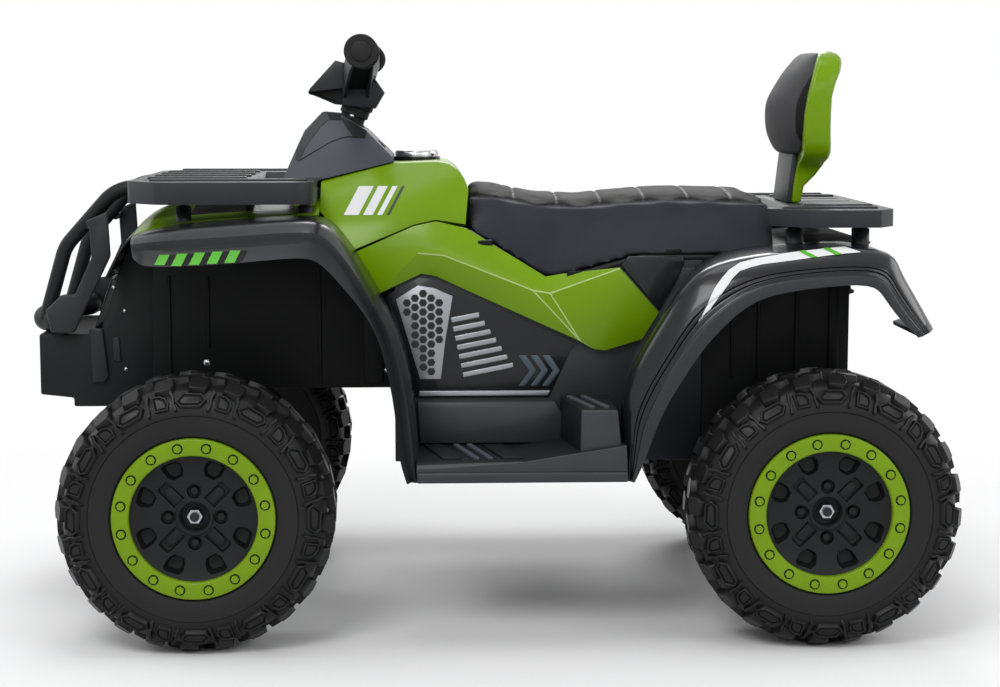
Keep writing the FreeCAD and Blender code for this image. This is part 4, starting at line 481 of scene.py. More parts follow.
LUG_ROOT, LUG_DRAFT, LUG_EDGE, ISLAND_RISE, ISLAND_DRAFT = 4, 1.6, 0.7, 0.7, 0.4


def raised(points, height, rim=0, groove=0):
    """A moulded lug from a flat outline: drafted sides and, where asked, a groove inside a rim, whose floor
    and walls are painted darkest black as painted shade.
    """
    bm = bmesh.new()
    top = push(bm, flat_face(bm, [(x, y, -LUG_ROOT) for x, y in points]), (0, 0, height + LUG_ROOT))
    shrink(top, LUG_DRAFT)
    if rim:
        bottom = sink(bm, top, rim, (0, 0, -groove))
        # The groove's floor and walls get the darkest black, a painted shade in the groove.
        for wall in {f for e in bottom.edges for f in e.link_faces}:
            wall.material_index = 2
        island = sink(bm, bottom, groove, (0, 0, groove * ISLAND_RISE))
        shrink(island, groove * ISLAND_DRAFT)
        island.material_index = 0
    bmesh.ops.recalc_face_normals(bm, faces=bm.faces)
    round_edges(bm, LUG_EDGE, segments=1)
    return bm


CARCASS = [(100, -53), (105, -56), (107, -59.5), (112, -61.5), (122, -63), (132.2, -63.6), (133, -62.6),
           (134, -63.8), (140, -63.4), (148, -60.8), (156, -56), (163, -49), (167.5, -41), (169.5, -30)]
HEX_LUG = [(-21, -2), (-15, -10), (13, -10), (21, 0), (15, 9.5), (-12, 10.5)]
D_LUG = [(-10, -11), (9, -12), (12, -2), (9, 7), (0, 12), (-11, 11)]
RIB = [(-2.6, -15), (1.4, -16), (4.4, -6), (4.0, 4), (7.5, 13), (4, 16), (0, 6), (-0.2, -5)]
SHOULDER_BLOCK = [(-13, -13), (8, -15), (14, -6), (13, 12), (2, 15), (-12, 10)]
CREST_BLOCK = [(-15, -12), (-2, -15), (13, -9), (16, 3), (6, 14), (-4, 9), (-14, 6)]
OTHER_RIB = [(-x, y) for x, y in reversed(RIB)]
# Each row has an outline, its height, rim and groove, then its radius, place across, tilt and turn.
LUGS = [
    (HEX_LUG, 6.2, 2.4, 2.0, 151.5, -58.6, 26, 0), (D_LUG, 4.6, 2.2, 1.8, 152, -58.4, 26, 15.5),
    (RIB, 4.4, 0, 0, 153, -58, 28, 8.6), (OTHER_RIB, 4.4, 0, 0, 153, -58, 28, 22.4),
    (SHOULDER_BLOCK, 7.6, 0, 0, 166.8, -40, 66, 3), (SHOULDER_BLOCK, 7.6, 0, 0, 166.8, -40, 66, 18),
    (CREST_BLOCK, 8.4, 0, 0, 169.6, -14, 90, 9), (CREST_BLOCK, 8.4, 0, 0, 169.6, -14, 90, 24),
]
LUG_STEPS, SMOOTH_WALL = 12, 134.5
STAGGER = Matrix.Rotation(math.radians(7.5), 4, "Y")


def make_tyre():
    tyre = spun(CARCASS + [(r, -y) for r, y in reversed(CARCASS)], 96)
    painted(tyre, 1, lambda middle, normal: math.hypot(middle.x, middle.z) < SMOOTH_WALL)
    lugs = bmesh.new()
    for points, height, rim, groove, radius, y, tilt, turn in LUGS:
        for side in (1, -1):
            lug = raised(points, height, rim, groove)
            set_on_wheel(lug, radius, y, tilt, turn)
            join(lugs, lug if side > 0 else move(move(lug, MIRROR_Y), STAGGER))
    repeat_round(lugs, LUG_STEPS)
    join(tyre, lugs)
    return tyre


def wheel_matrix(corner):
    """Wheel pieces are drawn about the axle with their outer face to -Y."""
    x, side = WHEEL_CORNERS[corner]
    turn = Matrix.Rotation(math.pi, 4, "Z") if side > 0 else Matrix.Identity(4)
    return at(x, side * HALF_TRACK, AXLE_Z) @ turn


def on_all_wheels(kind, bm, slot, paints, smooth=38):
    """Put one wheel piece on all four wheels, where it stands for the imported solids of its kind."""
    first, *others = WHEEL_CORNERS
    piece = put(f"{kind}_{first}_skin", move(bm, wheel_matrix(first)), slot, paints, [f"{kind}_{first}"],
                smooth, "wheel_" + first)
    for corner in others:
        matrix = wheel_matrix(corner) @ wheel_matrix(first).inverted()
        moved_copy(piece, f"{kind}_{corner}_skin", "wheel_" + corner, matrix, [f"{kind}_{corner}"])


on_all_wheels("tyre", make_tyre(), "tyre", [tyre_black, sidewall_black, deep_black], smooth=32)

# %% [markdown]
# The green ring clamps the tyre to the wheel. It carries sixteen hexagonal bolt heads, each on a low black
# disc that is painted shade standing for a counterbore. The ring is a spun profile, and one bolt with its
# disc is repeated.

# %% Wheel ring
RING_FACE, RING_OUTER, RING_INNER, RING_BOLTS = -62, 104, 81.5, 16
ring = spun([(RING_INNER, -54), (RING_INNER, RING_FACE + 2.6), (RING_INNER + 1, RING_FACE + 0.8),
             (RING_INNER + 2.6, RING_FACE), (RING_OUTER - 2.6, RING_FACE),
             (RING_OUTER - 0.8, RING_FACE + 0.9), (RING_OUTER, RING_FACE + 2.8),
             (RING_OUTER, -54)], 128, closed=True)


def cone(segments, foot, top, height):
    """A cut-off cone about Z with its middle at the origin, in millimetres."""
    bm = bmesh.new()
    bmesh.ops.create_cone(bm, cap_ends=True, segments=segments, radius1=foot * MM, radius2=top * MM,
                          depth=height * MM)
    return bm


BOLT_DRAFT = 0.5
bolts = bmesh.new()
# The round row is a low disc in the darkest black under each head, a painted shade that stands for a
# counterbore. The hexagonal row is the head.
for segments, radius, low, high, paint in ((24, 7.2, 1.4, 0.25, 1), (6, 5.6, 1.0, 2.4, 0)):
    head = painted(cone(segments, radius, radius - BOLT_DRAFT, low + high), paint)
    move(head, at(0, 0, (high - low) / 2))
    set_on_wheel(head, (RING_OUTER + RING_INNER) / 2, RING_FACE, 0, 180 / RING_BOLTS)
    join(bolts, head)
repeat_round(bolts, RING_BOLTS)
join(ring, bolts)
on_all_wheels("ring", ring, "green_plastic", [ring_green, deep_black])

# %% [markdown]
# The wheel itself is a black moulding with eight windows near its edge, four diagonal channels, four
# recessed lug nuts and a deep hub. The dish is spun, then boolean cutters take the hollows out, as a
# milling cutter would. Booleans suit this piece, because each hollow is a plain prism.

# %% Wheel dish
def applied(thing):
    """A new mesh with an object's modifiers applied."""
    bpy.context.view_layer.update()
    return bpy.data.meshes.new_from_object(thing.evaluated_get(bpy.context.evaluated_depsgraph_get()))


def cut_away(bm, cutters):
    """Take cutter meshes out of a bmesh with an exact boolean, and return the result."""
    body, cutter = mesh_object("body", bm), mesh_object("cutter", cutters)
    boolean = body.modifiers.new("cut", "BOOLEAN")
    boolean.operation, boolean.solver, boolean.use_self = "DIFFERENCE", "EXACT", True
    boolean.object = cutter
    made = applied(body)
    result = from_mesh(made)
    for mesh in (body.data, cutter.data, made):
        bpy.data.meshes.remove(mesh)
    return result


def wheel_prism(points, degrees, from_y, to_y, draft=0):
    """A prism turned about the axle, between two depths, drawn in at its end by a draft."""
    c, s = math.cos(math.radians(degrees)), math.sin(math.radians(degrees))
    bm = side_block([(x * c + z * s, z * c - x * s) for x, z in points], from_y, to_y - from_y)
    if draft:
        shrink(max(bm.faces, key=lambda f: f.calc_center_median().y), draft)
    return bm


def polygon(sides, x, z, radius):
    """A regular polygon round a place in the side view."""
    return [(x + radius * math.cos(a), z + radius * math.sin(a))
            for a in (math.tau * n / sides for n in range(sides))]


DISH = [(100, -53), (81.5, -53), (79.5, -51), (62, -46.5), (46, -44.5), (25, -44.5), (23, -46.5),
        (20.5, -46.5), (18.5, -44), (17, -31.5), (0.01, -31.5), (0.01, -20), (100, -20)]
WINDOW = [(-9, 52.5), (6.5, 51), (13.5, 60), (14.5, 75), (10, 78.2), (-9.5, 77), (-14, 70), (-13.5, 60)]
CHANNEL = [(-10.5, 24), (10.5, 24), (10.5, 56), (8, 59.5), (-8, 59.5), (-10.5, 56)]
STEP = [(-6.4, 20), (6.4, 20), (6.4, 46), (4.4, 50), (-4.4, 50), (-6.4, 46)]
OTHER_WINDOW = [(-x, z) for x, z in reversed(WINDOW)]
NUT_CIRCLE, NUT_POCKET, CUT_START, DISH_EDGE = 33.5, 9.4, -52.5, 0.8
TONGUE_FOOT, TONGUE_FACE, NUT_MIDDLE = -38, -41.5, -38.5
HOLLOWS = [
    (WINDOW, 22.5, -37, 6), (OTHER_WINDOW, 67.5, -37, 6), (CHANNEL, 45, -39, 4),
    (polygon(20, 0, NUT_CIRCLE, NUT_POCKET), 0, -35.5, 0),
]
dish = spun(DISH, 96, closed=True)
for outline, turn, depth, draft in HOLLOWS:
    cutters = bmesh.new()
    for quarter in range(4):
        join(cutters, wheel_prism(outline, 90 * quarter + turn, CUT_START, depth, draft))
    dish = cut_away(dish, cutters)
bmesh.ops.remove_doubles(dish, verts=dish.verts, dist=2e-5)
round_edges(dish, DISH_EDGE, angle=28)
dish.normal_update()
# The walls of the windows, channels and nut pockets are painted darkest black, a painted shade in the
# hollows.
painted(dish, 1, lambda middle, normal: 27 < math.hypot(middle.x, middle.z) < 79 and abs(normal.y) < 0.9)
for quarter in range(4):
    tongue = wheel_prism(STEP, 90 * quarter + 45, TONGUE_FOOT, TONGUE_FACE)
    round_edges(tongue, DISH_EDGE)
    join(dish, tongue)
    nut = cone(6, 5.4, 5.0, 7)
    set_on_wheel(nut, NUT_CIRCLE, NUT_MIDDLE, 0, 90 * quarter)
    join(dish, nut)
on_all_wheels("rim", dish, "black_plastic", [grained_black, deep_black], smooth=30)

# %% [markdown]
# Each fender is one thin moulding: a roof over the wheel, a crease, a shadowed band that turns inwards
# and a flared lip. Its stations along the wheel arch come from the model's own side view. A sheet is
# drawn from station to station by extruding a row of edges, then Subdivision rounds it and Solidify
# gives it a wall. Edge creases keep the fold lines crisp.

# %% Fenders
FRONT_ARCH = [
    ((-80, 532), (-76, 507)), ((-56, 538), (-66, 499)), ((-27, 544), (-53, 495)), ((65, 550), (54, 499)),
    ((154, 556), (144, 510)), ((174, 547), (164, 500)), ((201, 513), (198, 461)), ((233, 456), (225, 427)),
    ((260, 408), (243, 385)), ((280, 326), (258, 304)), ((286, 247), (260, 249)), ((287, 216), (272, 216)),
]
REAR_ARCH = [
    ((144, 411), (116, 402)), ((118, 457), (85, 432)), ((98, 488), (68, 460)), ((90, 520), (50, 474)),
    ((-47, 513), (-60, 462)), ((-106, 506), (-107, 447)), ((-172, 490), (-161, 391)),
    ((-208, 432), (-189, 345)), ((-240, 380), (-211, 310)), ((-269, 328), (-226, 270)),
    ((-262, 262), (-237, 238)), ((-260, 216), (-248, 216)),
]
FENDER_WALL = 3


def loft(sections):
    """A sheet through rows of points in millimetres. Each vertex remembers its row and station."""
    bm = bmesh.new()
    rows, stations = bm.verts.layers.int.new("row"), bm.verts.layers.int.new("station")
    line = [bm.verts.new(Vector(p) * MM) for p in sections[0]]
    edges = [bm.edges.new(pair) for pair in zip(line, line[1:])]
    for row, vert in enumerate(line):
        vert[rows] = row
    for station, section in enumerate(sections[1:], start=1):
        made = bmesh.ops.extrude_edge_only(bm, edges=edges)["geom"]
        fresh = set(only(made, BMVert))
        line = [next(e.other_vert(v) for e in v.link_edges if e.other_vert(v) in fresh) for v in line]
        edges = [e for e in only(made, BMEdge) if fresh.issuperset(e.verts)]
        for vert, point in zip(line, section):
            vert.co = Vector(point) * MM
            vert[stations] = station
    return bm


def face_towards(bm, direction):
    """Make the normals agree, and turn them all where they look away from a direction."""
    bmesh.ops.recalc_face_normals(bm, faces=bm.faces)
    if sum((f.normal.dot(Vector(direction)) * f.calc_area() for f in bm.faces)) < 0:
        bmesh.ops.reverse_faces(bm, faces=bm.faces)


def crease_rows(bm, strengths):
    """Keep some rows of a loft sharp under subdivision."""
    rows = bm.verts.layers.int["row"]
    crease = bm.edges.layers.float.get("crease_edge") or bm.edges.layers.float.new("crease_edge")
    for edge in bm.edges:
        first, second = (v[rows] for v in edge.verts)
        if first == second and first in strengths:
            edge[crease] = strengths[first]


def paint_rows(bm, low, high, material, stations=range(99)):
    """Give the faces between two rows of a loft a material slot."""
    row, station = bm.verts.layers.int["row"], bm.verts.layers.int["station"]
    for face in bm.faces:
        numbers = [v[row] for v in face.verts]
        if min(numbers) >= low and max(numbers) <= high and min(v[station] for v in face.verts) in stations:
            face.material_index = material


def skinned(piece, wall=FENDER_WALL, levels=2):
    """Round a sheet by subdivision and give it a wall behind its face."""
    smooth = piece.modifiers.new("smooth", "SUBSURF")
    smooth.levels = smooth.render_levels = levels
    smooth.boundary_smooth = "PRESERVE_CORNERS"
    wall_modifier = piece.modifiers.new("wall", "SOLIDIFY")
    wall_modifier.thickness = wall * MM
    wall_modifier.offset = -1
    return piece


def fender_section(axle_x, station, inner, slant, folds):
    """Points across a fender, from its inner edge over the shoulder and folds to the lip's return."""
    (top_dx, top_z), (lip_dx, lip_z) = station
    top, lip = Vector((axle_x + top_dx, 0, top_z)), Vector((axle_x + lip_dx, 0, lip_z))
    fall = lip - top
    points = [top + Vector((slant, -inner, 0)), top + Vector((slant * 0.2, -268, 0))]
    points += [top + fall * share + Vector((0, -half, 0)) for share, half in folds]
    return points + [lip + Vector((0, -302, 0)) - fall.normalized() * 3]


def front_folds(number):
    """Shares of the drop, and half widths, of the shoulder, the two creases and the lip."""
    if number == 0:
        return [(0.02, 290), (0.34, 304), (0.42, 305), (1.0, 308)]
    second = 0.56 if number < 7 else 0.72
    return [(0.02, 297), (0.30, 321), (second, 314), (1.0, 326)]


front_sections = [fender_section(FRONT_X, station, 190 if number < 10 else 182.5, 0, front_folds(number))
                  for number, station in enumerate(FRONT_ARCH)]
fender_bm = loft(front_sections)
face_towards(fender_bm, (0, -1, 1))
crease_rows(fender_bm, {2: 0.3, 3: 0.8, 4: 0.85, 5: 0.9})
paint_rows(fender_bm, 4, 6, 1)
paint_rows(fender_bm, 3, 4, 2)
paint_rows(fender_bm, 1, 6, 1, stations=range(7, 12))
front_fender = put_pair("front_fender_left_skin", fender_bm, "black_gloss",
                        [gloss_black, lip_black, rack_black], ["front_fender_left"], smooth=60, dress=skinned)

REAR_INNER = [176] * 6 + [182.5] + [196.5] * 2 + [182.5] * 3
REAR_SLANT = [0] * 6 + [18] * 5 + [4]
REAR_FOLDS = [(0.02, 297), (0.34, 315), (0.47, 318.4), (0.485, 316.4), (0.50, 318.8), (0.56, 319.8),
              (0.575, 317.8), (0.59, 320.2), (0.70, 322.4), (0.715, 324), (1.0, 326)]
rear_sections = [fender_section(REAR_X, station, inner, slant, REAR_FOLDS)
                 for station, inner, slant in zip(REAR_ARCH, REAR_INNER, REAR_SLANT)]
fender_bm = loft(rear_sections)
face_towards(fender_bm, (0, -1, 1))
crease_rows(fender_bm, {2: 0.3, 4: 0.7, 5: 0.7, 6: 0.7, 7: 0.7, 8: 0.7, 9: 0.7, 10: 0.8, 11: 0.8, 12: 0.9})
paint_rows(fender_bm, 11, 13, 1)
rear_fender = put_pair("rear_fender_left_skin", fender_bm, "black_gloss", [gloss_black, rack_black],
                       ["rear_fender_left"], smooth=60, dress=skinned)

TAIL_INNER_Y, TAIL_STEP, TAIL_SHARE = -180, (-2, 0, 6), 0.93
tail_line = rear_sections[0][:3] + [rear_sections[0][-2]]
tail_cap = prism(tail_line + [Vector((tail_line[-1].x, TAIL_INNER_Y, tail_line[-1].z))], TAIL_STEP)
tail_middle = sum((v.co for v in tail_cap.verts), Vector()) / len(tail_cap.verts)
for vert in tail_cap.verts:
    vert.co = tail_middle.lerp(vert.co, TAIL_SHARE)
round_edges(tail_cap, 1.5, angle=20)
put_pair("fender_tail_left", tail_cap, "black_gloss", grained_black, smooth=50)

# %% [markdown]
# The tank and the cowl are hollow covers with broad flat facets and soft edges. Each starts as a block
# with the outline of its side view. Planes then slice the facets off both sides, and a wide bevel with
# several segments gives the large radii of a blow-moulded cover.

# %% Tank and cowl
def slice_off(bm, place, normal):
    """Cut off what lies beyond a plane through a place in millimetres, and close the cut."""
    cut = bmesh.ops.bisect_plane(bm, geom=everything(bm), dist=1e-6, plane_co=Vector(place) * MM,
                                 plane_no=normal, clear_outer=True)["geom_cut"]
    bmesh.ops.edgeloop_fill(bm, edges=only(cut, BMEdge))


def faceted(outline, half_view, widest):
    """A block with a side outline, sliced on both sides along the lines of half a front view."""
    bm = side_block(outline, -widest, 2 * widest)
    for (y0, z0), (y1, z1) in zip(half_view, half_view[1:]):
        for side in (1, -1):
            slice_off(bm, (0, side * y0, z0), Vector((0, side * (z1 - z0), y0 - y1)).normalized())
    bmesh.ops.recalc_face_normals(bm, faces=bm.faces)
    return bm


TANK_SIDE = [(-217.7, 556), (-171, 507), (-91, 539), (-62, 545), (-22, 539), (-17, 585), (-22, 598),
             (-31, 611), (-43, 619), (-60, 622), (-117, 620), (-217.7, 596)]
TANK_HALF = [(120, 600), (92, 640)]
FLANK_FOLD = [Vector((-190, -186, 533)), Vector((-60, -186, 556)), Vector((-110, -120, 606))]
TANK_HALF_WIDTH, TANK_SHOULDER_Z = 186, 586
tank = faceted(TANK_SIDE, TANK_HALF, TANK_HALF_WIDTH)
for mirror in BOTH_SIDES:
    start, end, top = (point * mirror for point in FLANK_FOLD)
    outward = (end - start).cross(top - start).normalized()
    slice_off(tank, start, outward if outward.z > 0 else -outward)
bmesh.ops.recalc_face_normals(tank, faces=tank.faces)
round_edges(tank, 11, segments=5, angle=15, where=lambda a, b: min(a.z, b.z) > TANK_SHOULDER_Z)
round_edges(tank, 1.6, angle=25)
tank_skin = put("tank_skin", tank, "green_plastic", green_paint, ["tank_cover"], smooth=60)

COWL_SIDE = [(-270, 597), (-242, 663), (-218, 689), (-195, 687), (-154, 661), (-120, 627), (-119, 621),
             (-217.7, 597), (-240, 586)]
COWL_HALF = [(112, 540), (112, 600), (92, 640), (40, 692)]
cowl = faceted(COWL_SIDE, COWL_HALF, COWL_HALF[0][0])
round_edges(cowl, 6, segments=3, angle=20)
cowl_skin = put("cowl_skin", cowl, "cowl_grey", cowl_grey, ["cowl"], smooth=60)

# %% [markdown]
# The saddle and the backrest pad are foam under leatherette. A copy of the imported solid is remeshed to
# small even faces, and a cloth simulation blows it up a little, so that its faces crown and its edges
# relax as a stuffed cover does. The sewn channels are pressed in afterwards, because the remesh would
# lose anything narrower than its faces.

# %% Cushions
def remeshed(name, bm, voxel):
    """An object with an even voxel mesh of a closed bmesh."""
    thing = mesh_object(name, bm)
    remesh = thing.modifiers.new("even", "REMESH")
    remesh.mode = "VOXEL"
    remesh.voxel_size = voxel * MM
    even, rough = applied(thing), thing.data
    thing.modifiers.clear()
    thing.data = even
    bpy.data.meshes.remove(rough)
    return thing


def inflated(thing, cap, is_held, pressure=4.0, frames=20):
    """Blow a closed mesh up as cloth, and hold the faces that lie on something. The cap is in mm."""
    start = [v.co.copy() for v in thing.data.vertices]
    group = thing.vertex_groups.new(name="held")
    group.add([v.index for v in thing.data.vertices if is_held(v.co, v.normal)], 1.0, "REPLACE")
    cloth = thing.modifiers.new("cloth", "CLOTH")
    cloth.settings.use_pressure = True
    cloth.settings.uniform_pressure_force = pressure
    cloth.settings.effector_weights.gravity = 0
    cloth.settings.vertex_group_mass = "held"
    scene = bpy.context.scene
    for number in range(1, frames + 1):
        scene.frame_set(number)
    blown = thing.evaluated_get(bpy.context.evaluated_depsgraph_get()).data
    places = [v.co.copy() for v in blown.vertices]
    thing.modifiers.clear()
    scene.frame_set(1)
    for vert, old, new in zip(thing.data.vertices, start, places):
        step = new - old
        vert.co = old + step * min(1, cap * MM / max(step.length, 1e-9))
    return thing


def smooth_shape(bm, rounds, keep=None):
    """Even out a mesh, as a foam block under a cover does."""
    verts = [v for v in bm.verts if keep is None or not keep(v.co)]
    for _ in range(rounds):
        bmesh.ops.smooth_vert(bm, verts=verts, factor=0.5, use_axis_x=True, use_axis_y=True, use_axis_z=True)


CREST_START, CREST_STEP = 18, 59.5
CRESTS = [590, 579, 576, 582, 586, 585, 583]
CHANNELS = [CREST_START + CREST_STEP * (number + 0.5) for number in range(6)]
TOP_BAND = 17
PANEL_CROWN, THREAD = 4.5, 1.5
CHANNEL_DEPTH, CHANNEL_WIDTH, SEAM_DEPTH, SEAM_WIDTH, SEAM_FROM_Y = 2.2, 2.4, 2.0, 2.6, 60
TOP_START, TOP_FADE, RISE_FADE = -3, 14, 12
SEAT_FRONT_X, FRONT_RISE, RISE_REACH, FRONT_PULL, PULL_REACH = -13, 9, 46, 3.2, 30


def seat_seam(x):
    """Height of the seam between the saddle's top and its side, in millimetres."""
    place = min(max((x - CREST_START) / CREST_STEP, 0), len(CRESTS) - 1.001)
    crest, share = int(place), place % 1
    return CRESTS[crest] * (1 - share) + CRESTS[crest + 1] * share - TOP_BAND


def channel_gap(x):
    """Distance to the nearest sewn channel."""
    return min(abs(x - channel) for channel in CHANNELS)


def cover_mesh(node, voxel, cap, held):
    """A packed cushion as an even mesh, blown up by at most a cap where it isn't held."""
    thing = remeshed(node, solid_copy(node), voxel)
    inflated(thing, cap, held)
    bm = from_mesh(thing.data)
    bpy.data.objects.remove(thing)
    return bm


seat_bm = cover_mesh("seat_cushion", 6, 3, lambda place, normal: normal.z < -0.5)
bmesh.ops.subdivide_edges(seat_bm, edges=seat_bm.edges, cuts=1, use_grid_fill=True)
smooth_shape(seat_bm, 6)
smooth_shape(seat_bm, 24, keep=lambda place: place.z / MM > seat_seam(place.x / MM) - 12)
seat_bm.normal_update()
pressed = {}
for vert in seat_bm.verts:
    x, y, z = vert.co / MM
    above = z - seat_seam(x)
    press = SEAM_DEPTH * math.exp(-(above / SEAM_WIDTH) ** 2) if abs(y) > SEAM_FROM_Y else 0
    if vert.normal.z > -0.2 and above > TOP_START:
        panel = PANEL_CROWN * math.cos(math.pi * (x - CREST_START) / CREST_STEP) ** 2
        panel += CHANNEL_DEPTH * math.exp(-(channel_gap(x) / CHANNEL_WIDTH) ** 2)
        press = max(press, panel * min(1, (above - TOP_START) / TOP_FADE))
    lift = FRONT_RISE * max(0, 1 - (x - SEAT_FRONT_X) / RISE_REACH) * min(1, max(0, above) / RISE_FADE)
    forward = FRONT_PULL * max(0, 1 - (x - SEAT_FRONT_X) / PULL_REACH)
    pressed[vert] = vert.co - vert.normal * press * MM - Vector((forward, 0, -lift)) * MM
for vert, place in pressed.items():
    vert.co = place
painted(seat_bm, 2, lambda middle, normal: channel_gap(middle.x) < THREAD)
painted(seat_bm, 1, lambda middle, normal: middle.z <= seat_seam(middle.x))
saddle = put("saddle_cover", seat_bm, "seat_leather", [seat_top, seat_side, deep_black], ["seat_cushion"],
             smooth=80)

BAND_Y = 93
pad_bm = cover_mesh("backrest_pad", 4, 6, lambda place, normal: normal.x > 0.7)
smooth_shape(pad_bm, 22)
for side in (1, -1):
    bmesh.ops.bisect_plane(pad_bm, geom=everything(pad_bm), dist=1e-5,
                           plane_co=(0, BAND_Y * side * MM, 0), plane_no=(0, side, 0))
painted(pad_bm, 1, lambda middle, normal: abs(middle.y) > BAND_Y)
cushion = put("backrest_cover", pad_bm, "seat_leather", [pad_grey, seat_top], ["backrest_pad"], smooth=80)
soften_pad = cushion.modifiers.new("smooth", "SUBSURF")
soften_pad.levels = soften_pad.render_levels = 1

# %% [markdown]
# The backrest shell is a curved back that narrows to a stem, with a dark bracket in front of the stem. Level
# rings from the foot to the top carry its depth and its width, so one loft gives both the side view's curve
# and the round corners of the back view.

# %% Backrest shell
SHELL_RINGS = [
    (561.6, 439, 452, 60), (585, 441, 456, 60), (600, 443, 471, 61), (610, 445, 478, 64), (617, 446, 482, 73),
    (622, 447, 483.5, 85), (627, 447.5, 484.5, 96), (634, 447, 485, 104), (645, 446, 484, 109.5),
    (660, 445, 483, 111), (687, 446, 483, 111), (710, 450, 484, 111), (729, 455, 489, 110),
    (744, 459.5, 495.5, 106), (755, 463.5, 498.5, 99), (763, 467, 498.5, 91), (768.5, 469.5, 495, 82),
    (772, 472, 488, 70),
]
BRACKET_SIDE, BRACKET_HALF = [(432, 561.6), (443, 561.6), (450, 632), (440, 634)], 56
CORNER_DEPTH, CORNER_SHARE = 3, 0.93


def closed_loft(rings):
    """A closed skin through rings of points, each of which ends where it began."""
    bm = loft(rings)
    bmesh.ops.remove_doubles(bm, verts=bm.verts, dist=1e-6)
    bmesh.ops.holes_fill(bm, edges=bm.edges, sides=len(rings[0]) - 1)
    bmesh.ops.recalc_face_normals(bm, faces=bm.faces)
    return bm


def shell_ring(z, front, back, half):
    edge, round_half = back - CORNER_DEPTH, half * CORNER_SHARE
    return [(front, -half, z), (edge, -half, z), (back, -round_half, z), (back, round_half, z),
            (edge, half, z), (front, half, z), (front, -half, z)]


shell = closed_loft([shell_ring(*ring) for ring in SHELL_RINGS])
round_edges(shell, 3.5, segments=3, angle=42)
bracket = side_block(BRACKET_SIDE, -BRACKET_HALF, 2 * BRACKET_HALF)
round_edges(bracket, 2.5, segments=3, angle=35)
join(shell, painted(bracket, 1))
put("backrest_shell_skin", shell, "green_plastic", [green_paint, rack_black], ["backrest_shell"], smooth=45)

# %% [markdown]
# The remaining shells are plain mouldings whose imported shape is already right. They get the small edge
# radius that every moulding has, so that their edges catch the light.

# %% Shells with broken edges
EDGE_WIDTHS = {
    "chassis_tub": 3, "front_liner": 3, "rear_liner": 4, "side_cover_left": 1.5, "side_cover_right": 1.5,
    "front_valance": 2.5, "bumper_plates": 2.5, "seat_base": 1,
}
PAINT_OF = {
    "bumper_plates": rack_black, "chassis_tub": satin_black, "front_liner": deep_black,
    "rear_liner": deep_black, "side_cover_left": step_grey, "side_cover_right": step_grey,
}
for node, width in EDGE_WIDTHS.items():
    moulding = solid_copy(node)
    round_edges(moulding, width, angle=25)
    put(node + "_skin", moulding, SLOT_OF[node], PAINT_OF.get(node, FINISHES[SLOT_OF[node]]), [node])

# %% [markdown]
# The green wing under the tank is folded sheet-like plastic: an upper facet that catches the sky, a lower
# facet that turns away, and a broad end facet behind the dip. A few corner points carry those folds. The
# rim is extruded back to the side cover and all folds get a small radius. The radius along the outer ridge is
# painted a lighter green, a painted highlight on the fold.

# %% Green wings
WING_POINTS = {
    "nose": (-169, -185, 504), "seam_low": (-91, -187, 538.5), "seam": (-62, -187, 544.5),
    "seat": (-21, -187, 535), "dip_front": (85, -188, 470), "dip_rear": (109, -188, 474),
    "peak": (184, -195.8, 482), "tip": (237, -191.3, 422), "heel": (215, -191.4, 386),
    "toe": (165, -193.4, 371), "sole": (149, -194.3, 373),
    "knee": (132, -195.4, 383), "belly": (-20, -189, 452), "front_low": (-63, -189, 472),
    "front_edge": (-82, -189, 475), "front_foot": (-139, -187, 448), "ridge_start": (-86, -197, 503),
    "ridge": (-52, -198, 500), "ridge_seat": (-16, -199, 486), "ridge_dip": (67, -199.5, 453),
    "ridge_end": (90, -199.5, 449),
}
WING_FACETS = [
    ("nose", "seam_low", "ridge_start", "front_foot"), ("ridge_start", "front_edge", "front_foot"),
    ("seam_low", "seam", "ridge", "ridge_start"), ("seam", "seat", "ridge_seat", "ridge"),
    ("seat", "dip_front", "ridge_dip", "ridge_seat"), ("dip_front", "dip_rear", "ridge_end", "ridge_dip"),
    ("dip_rear", "peak", "ridge_end"), ("ridge_start", "ridge", "front_low", "front_edge"),
    ("ridge", "ridge_seat", "belly", "front_low"), ("ridge_seat", "ridge_dip", "knee", "belly"),
    ("ridge_dip", "ridge_end", "knee"), ("ridge_end", "peak", "tip", "heel", "toe", "sole", "knee"),
]
WING_BACK_Y, RIDGE_Y = -181.5, -194
wing = bmesh.new()
wing_verts = {name: wing.verts.new(Vector(place) * MM) for name, place in WING_POINTS.items()}
for names in WING_FACETS:
    wing.faces.new([wing_verts[name] for name in names])
face_towards(wing, (0, -1, 0))
rim = bmesh.ops.extrude_edge_only(wing, edges=[e for e in wing.edges if e.is_boundary])["geom"]
for vert in only(rim, BMVert):
    vert.co.y = WING_BACK_Y * MM
bmesh.ops.recalc_face_normals(wing, faces=wing.faces)
# The bevel along the outer ridge is painted a lighter green, a painted highlight on the fold.
for face in round_edges(wing, 1.0, angle=4, where=lambda a, b: max(a.y, b.y) < RIDGE_Y):
    face.material_index = 1
round_edges(wing, 1.2, angle=20)
face_towards(wing, (0, -1, 0))
put_pair("green_wing_left", wing, "green_plastic", [green_paint, ridge_highlight_green], ["side_panel_left"], smooth=50)

# %% [markdown]
# Stripes are foil stuck on the fenders. Each one starts as a flat shape in the side view. Rays from the
# camera's place drop every corner on the surface behind it, with a hair's breadth of lift, so the foil
# follows the curve under it.

# %% Foil stripes
def laid_on(bm, target, lift):
    """Drop the corners of a flat shape on a piece, along lines from the camera's place."""
    tree = BVHTree.FromObject(target, bpy.context.evaluated_depsgraph_get())
    for vert in bm.verts:
        place, normal, _, _ = tree.ray_cast(CAMERA_PLACE, (vert.co - CAMERA_PLACE).normalized())
        if place is None:
            place, normal, _, _ = tree.find_nearest(vert.co)
        outward = normal if normal.dot(CAMERA_PLACE - place) > 0 else -normal
        vert.co = place + outward * lift * MM
    face_towards(bm, (0, -1, 0))


